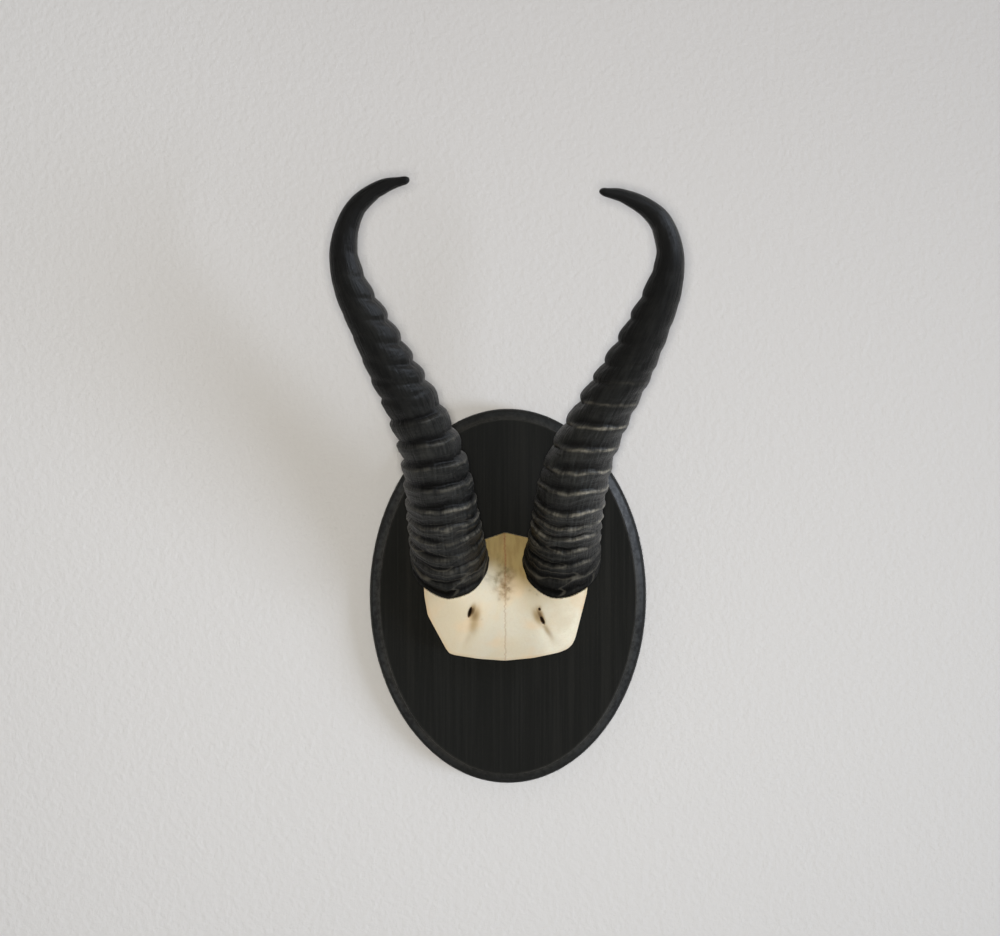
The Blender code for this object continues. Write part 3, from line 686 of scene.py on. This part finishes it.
def boneHeight(x, z):
    if z < bone["crestZ"]:
        below = (bone["crestZ"] - z) / bone["frontReach"]
        height = bone["crestHeight"] - bone["frontDrop"] * below * below
        fall = bone["sideFall"]
    else:
        above = (z - bone["crestZ"]) / bone["rearReach"]
        height = bone["crestHeight"] - bone["rearDrop"] * above ** bone["rearCurve"]
        fall = bone["sideFall"] + (bone["rearSideFall"] - bone["sideFall"]) * ease(above)
    height -= fall * x * x
    brow = hypot(abs(x) - bone["browX"], z - bone["browZ"]) / bone["browSpread"]
    height += bone["browRise"] * exp(-brow * brow / bone["browSoft"])
    along = (bone["grooveTop"] - z) / (bone["grooveTop"] - bone["grooveBottom"])
    centre = readTable(bone["grooveLine"]["left" if x < 0 else "right"], z / mm) * mm
    groove = exp(-((x - centre) / bone["grooveSpread"]) ** 2)
    fade = 1 - bone["grooveFade"] * ease(along)
    height -= bone["grooveDepth"] * groove * ease(bone["grooveStart"] * along) * fade
    for name in horns:
        height = smoothMax(height, seatHeight(name, x, z), bone["seatBlend"])
    return height


def sutureX(z):
    # the fine jagged joint down the middle, in metres from the midline
    waves = bone["sutureWaves"]
    return sum(size * noise.noise(Vector((z / mm * scale, row, 0))) for scale, row, size in waves) * mm


def ovalSpot(x, z, middleX, middleZ, lean, halfWidth, halfHeight):
    # where a point lies in a leaning oval, 1 at its edge
    turn = radians(lean)
    dx, dz = x / mm - middleX, z / mm - middleZ
    across = dx * cos(turn) - dz * sin(turn)
    up = dx * sin(turn) + dz * cos(turn)
    return across / halfWidth, up / halfHeight


def pitDepth(x, z):
    # how deep and how far inside a pit a point lies
    deepest, inside = 0.0, 0.0
    for *oval, depth in bone["pits"]:
        share = ease((bone["pitEdge"] - hypot(*ovalSpot(x, z, *oval))) / bone["pitSoft"])
        deepest = max(deepest, share * depth * mm)
        inside = max(inside, share)
    return deepest, inside


def boneHalo(x, z):
    # how strongly a point is painted with brown shade near the pits and their grooves
    shade = 0.0
    for *oval, strength in bone["halos"]:
        across, up = ovalSpot(x, z, *oval)
        shade = max(shade, strength * exp(-across * across - up * up))
    return shade


def ochreAndShadeBetweenHorns(x, z):
    # the part that slopes back between the horns is browner and darker, lower down on the right than on the
    # left: partly stain, partly painted shade between the horns
    ochreAndShade = bone["ochreAndShade"]
    aside = min(ochreAndShade["reach"], max(-ochreAndShade["reach"], x / mm))
    spot = Vector((x / mm * ochreAndShade["across"], ochreAndShade["row"], z / mm * ochreAndShade["up"]))
    edge = ochreAndShade["edge"] - ochreAndShade["slope"] * aside + ochreAndShade["waver"] * noise.noise(spot)
    return ease((z / mm - edge + ochreAndShade["lead"]) / ochreAndShade["fade"])


def boneStain(x, z):
    # soft grey-green and brown blots between the horns
    def patches(size, scale, row):
        return size * noise.noise(Vector((x / mm * scale, z / mm * scale, row)))

    warp = patches(*bone["stainWarp"])
    rough = sum((patches(*part) for part in bone["stainRough"]), bone["stainBase"])
    shade = 0.0
    for blotX, blotZ, size, strength in bone["blots"]:
        near = hypot(x / mm - blotX + warp, z / mm - blotZ - warp) / size
        shade += strength * exp(-near * near)
    return min(1.0, max(0.0, shade * rough))


def roundedOutline(points, steps, smoothing):
    # the outline walked in equal steps, its corners rounded by averaging over a short length
    points = [Vector(point) for point in points]
    lengths = [0.0]
    for first, last in zip(points, points[1:] + points[:1]):
        lengths.append(lengths[-1] + (last - first).length)
    total = lengths[-1]

    def at(distance):
        distance %= total
        i = min(len(points) - 1, bisect_right(lengths, distance) - 1)
        share = (distance - lengths[i]) / (lengths[i + 1] - lengths[i])
        return points[i].lerp(points[(i + 1) % len(points)], share)

    result = []
    for step in range(steps):
        centre = total * step / steps
        near = [at(centre + smoothing * k / 4) for k in range(-4, 5)]
        result.append(sum(near, Vector((0, 0))) / len(near) * mm)
    return result


def outlinePoint(a, b, outline):
    # square rings of the grid become rings of the outline's shape
    centre = Vector(bone["middle"])
    reach = max(abs(a), abs(b))
    if reach < tiny:
        return reach, centre
    a, b = a / reach, b / reach
    if b >= 1 - tiny:
        walk = (a + 1) / 2
    elif a >= 1 - tiny:
        walk = 1 + (1 - b) / 2
    elif b <= tiny - 1:
        walk = 2 + (1 - a) / 2
    else:
        walk = 3 + (b + 1) / 2
    rim = outline[round((walk - 0.5) * bone["cells"]) % len(outline)]
    return reach, centre.lerp(rim, reach)


def makeSkull(material):
    cells = bone["cells"]
    outline = roundedOutline(bone["outline"], 4 * cells, bone["cornerRound"])
    depsgraph = bpy.context.evaluated_depsgraph_get()
    undersides = [BVHTree.FromObject(piece, depsgraph) for piece in hornPieces.values()]
    bm = bmesh.new()
    bmesh.ops.create_grid(bm, x_segments=cells, y_segments=cells, size=1.0)
    marks = bm.verts.layers.float_vector.new("marks")
    tones = bm.verts.layers.float_vector.new("tones")
    sawn = bm.verts.layers.float.new("sawn")
    for vert in bm.verts:
        reach, (x, z) = outlinePoint(vert.co.x, vert.co.y, outline)
        spot = Vector((x, z, 0)) / mm
        height = boneHeight(x, z)
        height += sum(size * noise.noise(spot * scale) for scale, size in bone["swell"]) * mm
        deep, inside = pitDepth(x, z)
        width = (bone["sutureWidth"] + bone["sutureWiden"] * ease(z / bone["sutureWidenBy"])) * mm
        suture = exp(-((x - sutureX(z)) / width) ** 2)
        height -= deep + bone["sutureDepth"] * mm * suture
        for underside in undersides:
            start = Vector((bone["midline"] + x, -boardThickness, z))
            hit = underside.ray_cast(start, Vector((0, -1, 0)), bone["seatReach"])[0]
            if hit:
                height = min(height, -boardThickness - hit.y - bone["seatGap"])
        vert.co = (bone["midline"] + x, -boardThickness - height, z)
        vert[marks] = Vector((suture, boneStain(x, z), inside))
        vert[tones] = Vector((ochreAndShadeBetweenHorns(x, z), boneHalo(x, z), ramp(reach, *bone["rim"])))
        vert[sawn] = 0.0
    edges = [edge for edge in bm.edges if edge.is_boundary]
    for step in range(bone["sawSteps"] + 1):
        loop = bmesh.ops.extrude_edge_only(bm, edges=edges)["geom"]
        for vert in (item for item in loop if isinstance(item, bmesh.types.BMVert)):
            vert[sawn] = 1.0
            if step < bone["sawSteps"]:
                vert.co.y += bone["sawStep"]
            else:
                vert.co.y = -boardThickness - bone["boardGap"]
        edges = [item for item in loop if isinstance(item, bmesh.types.BMEdge) and item.is_boundary]
    bmesh.ops.holes_fill(bm, edges=[edge for edge in bm.edges if edge.is_boundary])
    radius, start, end = boneScrews["bore"], boneScrews["boreStart"], boneScrews["boreEnd"]
    bores = []
    for name, z in boneScrews["places"].items():
        bores.append(roundCutter("bore_" + name, bone["midline"], z, radius, start, end))
    finishPiece("skull_cap", bm, material, "skull_plate", bone["sharpAngle"], bores)


boneHues = {
    "ivory": (0.690, 0.635, 0.500), "light": (0.95, 0.90, 0.735), "left": (0.72, 0.625, 0.450),
    "cloud": (0.68, 0.585, 0.41), "warm": (0.78, 0.60, 0.385), "fine": (0.62, 0.50, 0.33),
    "rim": (0.66, 0.46, 0.25), "ochreAndShade": (0.415, 0.300, 0.104), "darkOchreAndShade": (0.340, 0.230, 0.074),
    "halo": (0.36, 0.25, 0.115), "darkHalo": (0.12, 0.07, 0.028), "suture": (0.34, 0.15, 0.07),
    "murk": (0.150, 0.125, 0.054), "brownMurk": (0.21, 0.130, 0.052), "pit": (0.16, 0.09, 0.04),
    "paintedPitShade": (0.016, 0.010, 0.006), "sawn": (0.50, 0.40, 0.25), "paleSawn": (0.68, 0.58, 0.41),
}


def boneMaterial():
    material, shader = startMaterial("bleachedBone")
    suture, stain, pit = split(readMark("marks"))
    ochreAndShade, halo, rim = split(readMark("tones"))
    sawn = readMark("sawn", "Fac")
    place = objectPlace()
    clouds = mottle(place, 45.0, 3.0, 0.5)
    warm = mottle(place, 70.0, 2.0, 0.4)
    fine = mottle(place, 900.0, 3.0, 0.6)
    pores = mottle(place, 1600.0, 2.0, 0.5)
    streaks = mottle(objectPlace((320, 60, 70)), 1.0, 3.0, 0.55)
    across = split(place)["X"]
    seam = times(plus(0.45, times(ochreAndShade, 0.5)), remap(fine, 0.35, 0.65, 0.6, 1.0))
    mixed = {
        "brown": tint(remap(streaks, 0.40, 0.66), boneHues["ochreAndShade"], boneHues["darkOchreAndShade"]),
        "stain": tint(remap(warm, 0.4, 0.6), boneHues["murk"], boneHues["brownMurk"]),
        "cutFace": tint(remap(pores, 0.30, 0.62), boneHues["sawn"], boneHues["paleSawn"]),
    }
    # the bone is painted lighter towards the right: painted light on the side the light comes from
    ivory = tint(remap(across, 0.008, 0.034), boneHues["ivory"], boneHues["light"])
    ivory = layered(ivory, boneHues | mixed, [
        ("left", remap(across, -0.006, -0.030)),
        ("cloud", remap(clouds, 0.40, 0.66, 0.0, 0.62)),
        ("warm", remap(warm, 0.50, 0.72, 0.0, 0.60)),
        ("fine", remap(fine, 0.45, 0.8, 0.0, 0.22)),
        ("rim", times(rim, remap(warm, 0.3, 0.7, 0.15, 0.6))),
        # browner between the horns: stain and painted shade
        ("brown", times(ochreAndShade, 0.9)),
        # painted shade beside the pits and in the grooves below them
        ("halo", remap(halo, 0.0, 1.0, 0.0, 0.85)),
        ("darkHalo", remap(halo, 0.75, 1.5, 0.0, 0.85)),
        ("suture", times(suture, seam)),
        ("stain", times(stain, remap(fine, 0.3, 0.7, 0.75, 1.0))),
        # dark brown to near black inside the pits: painted shade in the holes
        ("pit", remap(pit, 0.05, 0.6, 0.0, 0.9)),
        ("paintedPitShade", remap(pit, 0.5, 1.0)),
        ("cutFace", times(sawn, 0.9)),
    ])
    feed(shader.inputs["Base Color"], ivory)
    feed(shader.inputs["Roughness"], remap(clouds, 0.2, 0.8, 0.48, 0.66))
    shader.inputs["Specular IOR Level"].default_value = 0.28
    shader.inputs["Subsurface Weight"].default_value = 0.12
    shader.inputs["Subsurface Scale"].default_value = 0.0015
    shader.inputs["Subsurface Radius"].default_value = (1.0, 0.7, 0.4)
    feed(shader.inputs["Normal"], raiseBump(fine, 0.00012, 0.6))
    return material


bleachedBone = boneMaterial()
makeSkull(bleachedBone)
print("skull cap done")


# board: an oval of black stained wood with a rounded edge and a small step up to its flat field
board = {
    "width": 0.150, "height": 0.203, "sides": 360, "backBevel": 0.0006,
    "sideSheen": 0.5, "roundSheen": 0.22,
    "roundWidth": 0.0014, "roundDepth": 0.0032, "roundSteps": 8,
    "slopeWidth": 0.0040, "slopeRise": 0.0022, "slopeSteps": 6,
    "slopeWear": 0.55, "wearRise": 1.8, "wearStart": 0.6,
    "riserHeight": 0.0009, "riserSlope": 0.00024, "riserMarks": (0.2, 0.8),      # worn share, sheen
    "arris": 0.00018,        # worn off the sharp edge in two steps: inset, rise, worn share, sheen
    "arrisSteps": [(0.4, 0.75, 0.6, 0.6), (1.0, 0.25, 0.6, 0.4)],
    "fieldStep": 0.0007,
    "sharpAngle": 35,
    "overlap": 0.001,        # how far a cutter starts outside the board
}
hangerPocket = {     # let into the back for a keyhole plate, with room behind it for a nail's head
    "z": 0.062,
    "size": (0.0166, 0.0446), "corner": 0.004, "depth": 0.0018,
    "nailRoom": 0.0062, "nailDepth": 0.0085, "nailLow": -0.0040, "nailRise": 0.0115,
    "pilot": 0.0016, "pilotDepth": 0.0120, "pilotOffset": 0.0165,
}


def boardSteps():
    # (inset, rise, worn share, sheen) from the top of the side to the flat field
    steps = []
    slope = atan2(board["slopeWidth"], board["slopeRise"])
    turns = [slope * step / board["roundSteps"] for step in range(board["roundSteps"] + 1)]
    for first, last in zip(turns, turns[1:]):
        inset = board["roundWidth"] * (cos(first) - cos(last)) / (1 - cos(slope))
        rise = board["roundDepth"] * (sin(last) - sin(first)) / sin(slope)
        steps.append((inset, rise, 0.0, board["roundSheen"]))
    count = board["slopeSteps"]
    for step in range(count):
        reach = (step + 1) / count * board["wearRise"] - board["wearStart"]
        worn = board["slopeWear"] * ease(reach)
        steps.append((board["slopeWidth"] / count, board["slopeRise"] / count, worn, 1.0))
    steps.append((board["riserSlope"], board["riserHeight"] - board["arris"], *board["riserMarks"]))
    for inset, rise, worn, sheen in board["arrisSteps"]:
        steps.append((board["arris"] * inset, board["arris"] * rise, worn, sheen))
    steps.append((board["fieldStep"], 0.0, 0.0, 0.0))
    return steps


def boardCutters():
    pocket, above = hangerPocket, -board["overlap"]
    bm = bmesh.new()
    bmesh.ops.create_cube(bm, size=1.0)
    bmesh.ops.scale(bm, vec=(*pocket["size"], pocket["depth"] - above), verts=bm.verts)
    upright = [edge for edge in bm.edges if abs(edge.verts[0].co.z - edge.verts[1].co.z) > mm]
    bmesh.ops.bevel(
        bm, geom=upright, affect="EDGES", offset=pocket["corner"], segments=8, profile=0.5, material=-1)
    cutters = [addCutter("recess", bm, (0, pocket["z"], (pocket["depth"] + above) / 2))]
    low = pocket["z"] + pocket["nailLow"]
    holes = [("nailRoom", 0, low, pocket["nailRoom"], above, pocket["nailDepth"], pocket["nailRise"])]
    for name, offset in (("upper", pocket["pilotOffset"]), ("lower", -pocket["pilotOffset"])):
        place = pocket["z"] + offset
        holes.append(("pilot_" + name, 0, place, pocket["pilot"], above, pocket["pilotDepth"]))
    through = boardThickness + board["overlap"]
    for name, z in boneScrews["places"].items():
        wide, deep = boneScrews["counterbore"], boneScrews["counterboreDepth"]
        holes.append(("counterbore_" + name, bone["midline"], z, wide, above, deep))
        holes.append(("bore_" + name, bone["midline"], z, boneScrews["bore"], above, through))
    return cutters + [roundCutter(*hole) for hole in holes]


def makeBoard(material):
    bevel, steps = board["backBevel"], boardSteps()
    side = boardThickness - board["riserHeight"] - board["slopeRise"] - board["roundDepth"] - bevel
    bm = bmesh.new()
    worn = bm.verts.layers.float.new("worn")
    sheen = bm.verts.layers.float.new("sheen")
    bmesh.ops.create_cone(bm, cap_ends=True, segments=board["sides"], radius1=0.5, radius2=0.5, depth=1.0)
    bmesh.ops.scale(bm, vec=(board["width"], board["height"], side), verts=bm.verts)
    bmesh.ops.translate(bm, verts=bm.verts, vec=(0, 0, bevel + side / 2))
    bm.normal_update()
    back, front = sorted((face for face in bm.faces if len(face.verts) > 4), key=lambda face: face.normal.z)
    bmesh.ops.inset_region(bm, faces=[back], thickness=bevel, depth=bevel, use_even_offset=True)
    for vert in bm.verts:
        vert[sheen] = 0.0 if vert.co.z < bevel * 1.5 else board["sideSheen"]
    for inset, rise, mark, shine in steps:
        bmesh.ops.inset_region(bm, faces=[front], thickness=inset, depth=rise, use_even_offset=True)
        for vert in front.verts:
            vert[worn] = mark
            vert[sheen] = shine
    turnAll(bm)
    cutters = boardCutters()
    finishPiece("oval_board", bm, material, "plaque", board["sharpAngle"], cutters)


boardHues = {
    "dark": (0.0088, 0.0091, 0.0082), "light": (0.0140, 0.0142, 0.0130), "band": (0.0170, 0.0168, 0.0150),
    "edge": (0.0085, 0.0092, 0.0100), "scuffsAndPaintedSheen": (0.0190, 0.0210, 0.0225), "worn": (0.038, 0.036, 0.030),
}


def boardMaterial():
    material, shader = startMaterial("blackStainedWood")
    worn = readMark("worn", "Fac")
    # the sheen fades towards the top and bottom, so the band's colour is darker there: painted shade where
    # the side light misses the edge
    up = split(objectPlace())["Z"]
    sheen = times(readMark("sheen", "Fac"), remap(times(up, up), 0.0030, 0.0095, 1.0, 0.30))
    fibres = mottle(objectPlace((900, 60, 12)), 1.0, 4.0, 0.6)
    bands = mottle(objectPlace((160, 60, 5)), 1.0, 3.0, 0.55)
    pores = mottle(objectPlace((2200, 500, 110)), 1.0, 2.0, 0.5)
    blotch = mottle(objectPlace(), 40.0, 3.0, 0.5)
    speck = mottle(objectPlace(), 420.0, 3.0, 0.6)
    stain = tint(remap(fibres, 0.4, 0.7), boardHues["dark"], boardHues["light"])
    stain = tint(remap(bands, 0.5, 0.72, 0.0, 0.6), stain, boardHues["band"])
    scuffs = remap(plus(times(blotch, 0.35), times(speck, 0.65)), 0.38, 0.60)
    # the edge band is painted a lighter grey-blue: partly worn, dusty stain, partly painted sheen from the
    # light at the right
    stain = tint(sheen, stain, tint(scuffs, boardHues["edge"], boardHues["scuffsAndPaintedSheen"]))
    edge = times(worn, remap(plus(blotch, times(speck, 0.6)), 0.60, 0.95, 0.35, 1.0))
    stain = tint(edge, stain, boardHues["worn"])
    feed(shader.inputs["Base Color"], stain)
    gloss = plus(times(sheen, -0.26), times(times(sheen, scuffs), 0.06))
    feed(shader.inputs["Roughness"], plus(gloss, remap(fibres, 0.2, 0.8, 0.60, 0.74)))
    shine = times(sheen, plus(times(scuffs, 0.34), 0.22))
    feed(shader.inputs["Specular IOR Level"], plus(shine, 0.24))
    roughen = raiseBump(fibres, 0.00012, 0.5)
    roughen = raiseBump(pores, 0.00015, 0.4, roughen)
    feed(shader.inputs["Normal"], roughen)
    return material


blackStainedWood = boardMaterial()
makeBoard(blackStainedWood)
print("board done")


# fixings behind
steelHues = {"light": (0.56, 0.57, 0.57), "dark": (0.40, 0.41, 0.42)}
fixings = ["hanger_plate", "hanger_screw_upper", "hanger_screw_lower", "bone_screw_upper", "bone_screw_lower"]


def steelMaterial():
    material, shader = startMaterial("zincSteel")
    brushed = mottle(objectPlace((300, 3000, 3000)), 1.0, 3.0, 0.6)
    clouds = mottle(objectPlace(), 180.0, 3.0, 0.5)
    grey = tint(remap(clouds, 0.3, 0.7), steelHues["light"], steelHues["dark"])
    feed(shader.inputs["Base Color"], grey)
    shader.inputs["Metallic"].default_value = 1.0
    feed(shader.inputs["Roughness"], remap(brushed, 0.3, 0.7, 0.28, 0.45))
    feed(shader.inputs["Normal"], raiseBump(brushed, 0.00004, 0.4))
    return material


zincSteel = steelMaterial()
for nodeName in fixings:
    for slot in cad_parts[nodeName].material_slots:
        slot.material = zincSteel
print("fixings done")


# wall, floor and light
room = {
    "wallColour": (0.708, 0.698, 0.690),
    "paintedShadeTop": (0.628, 0.612, 0.603),
    "paintedLightLeft": (0.712, 0.699, 0.688),
    "floorColour": (0.66, 0.65, 0.63),
    "unevenPaint": 0.985,
    "wallGap": 0.0008, "wallReach": 1.6, "wallSides": 96,
    "openHalf": (0.0738, 0.1003),      # opening hidden behind the board, so that light reaches its back
    "floorZ": -1.6, "floorReach": 3.0,
    "ambient": 0.215,
    "warmth": (1.04, 1.0, 0.92),
    "lights": {  # watts, size, place, direction it faces, colour, shows in gloss
        "window": (287.0, (4.5, 2.24), (6.37, -4.68, -1.36), (-0.8, 0.58, 0.17), (0.89, 1.0, 1.2), False),
        "front": (5.7, (0.07, 0.07), (-0.008, -1.02, 0.069), (0, 1, 0), (1.04, 1.0, 0.92), False),
        "sky": (92.0, (2.8, 2.8), (4.0, -2.18, 2.14), (-0.80, 0.43, -0.42), (0.90, 1.0, 1.16), True),
        "behind": (45.0, (1.2, 1.2), (0.8, 1.7, 0.95), (-0.4, -0.85, -0.45), (1.0, 1.0, 1.0), True),
    },
}


def wallMaterial(name, colour, oneSided):
    material, shader = startMaterial(name)
    roller = mottle(objectPlace(), 290.0, 3.0, 0.6)
    broad = mottle(objectPlace(), 3.0, 2.0, 0.5)
    darker = tuple(channel * room["unevenPaint"] for channel in colour)
    paint = tint(broad, colour, darker)
    if oneSided:
        aside, _, up = split(objectPlace())
        # painted shade darkens the wall towards the top and painted light lightens it towards the left,
        # evening out how the lamps fall
        paint = tint(remap(up, -0.15, 0.40), paint, room["paintedShadeTop"])
        paint = tint(remap(aside, -0.04, -0.30, 0.0, 0.7), paint, room["paintedLightLeft"])
    feed(shader.inputs["Base Color"], paint)
    shader.inputs["Roughness"].default_value = 0.75
    shader.inputs["Specular IOR Level"].default_value = 0.2
    feed(shader.inputs["Normal"], raiseBump(roller, 0.0010, 0.6))
    if oneSided:
        clear = addNode("ShaderNodeBsdfTransparent")
        choose = addNode("ShaderNodeMixShader")
        link(addNode("ShaderNodeNewGeometry").outputs["Backfacing"], choose.inputs["Fac"])
        link(shader.outputs["BSDF"], choose.inputs[1])
        link(clear.outputs["BSDF"], choose.inputs[2])
        link(choose.outputs["Shader"], painting["tree"].nodes["Material Output"].inputs["Surface"])
    return material


def makeStage(name, bm, material):
    stage = meshObject(name, bm)
    stage.data.materials.append(material)


def makeWall():
    # a wide round wall with an oval opening behind the board
    bm = bmesh.new()
    bmesh.ops.create_circle(bm, segments=room["wallSides"], radius=1.0)
    bmesh.ops.scale(bm, vec=(*room["openHalf"], 1), verts=bm.verts)
    ring = bmesh.ops.extrude_edge_only(bm, edges=bm.edges[:])["geom"]
    for vert in (item for item in ring if isinstance(item, bmesh.types.BMVert)):
        vert.co = vert.co.normalized() * room["wallReach"]
    bmesh.ops.recalc_face_normals(bm, faces=bm.faces)
    if bm.faces[:][0].normal.z < 0:
        bmesh.ops.reverse_faces(bm, faces=bm.faces)
    turnAll(bm)
    bmesh.ops.translate(bm, verts=bm.verts, vec=(0, room["wallGap"], 0))
    makeStage("wall", bm, wallMaterial("paintedWall", room["wallColour"], True))


def makeFloor():
    bm = bmesh.new()
    bmesh.ops.create_grid(bm, x_segments=1, y_segments=1, size=room["floorReach"])
    bmesh.ops.translate(bm, verts=bm.verts, vec=(0, 0, room["floorZ"]))
    makeStage("floor", bm, wallMaterial("paleFloor", room["floorColour"], False))


def makeRoom():
    makeWall()
    makeFloor()
    world = bpy.data.worlds.new("room")
    world.use_nodes = True
    background = world.node_tree.nodes["Background"]
    background.inputs["Color"].default_value = (*room["warmth"], 1.0)
    background.inputs["Strength"].default_value = room["ambient"]
    bpy.context.scene.world = world
    for name, settings in room["lights"].items():
        addLight(name, *settings)


def addLight(name, power, size, place, faces, colour, glossy):
    data = bpy.data.lights.new(name, "AREA")
    data.shape = "RECTANGLE"
    data.size, data.size_y = size
    data.energy = power
    data.color = colour
    light = bpy.data.objects.new(name, data)
    light.location = place
    light.rotation_euler = Vector(faces).to_track_quat("-Z", "Y").to_euler()
    light.visible_glossy = glossy
    light.visible_diffuse = name != "sky"      # the sky only shows as a sheen
    bpy.context.scene.collection.objects.link(light)


makeRoom()
bpy.context.scene.view_settings.view_transform = "Standard"
print("room done")

bpy.context.view_layer.update()
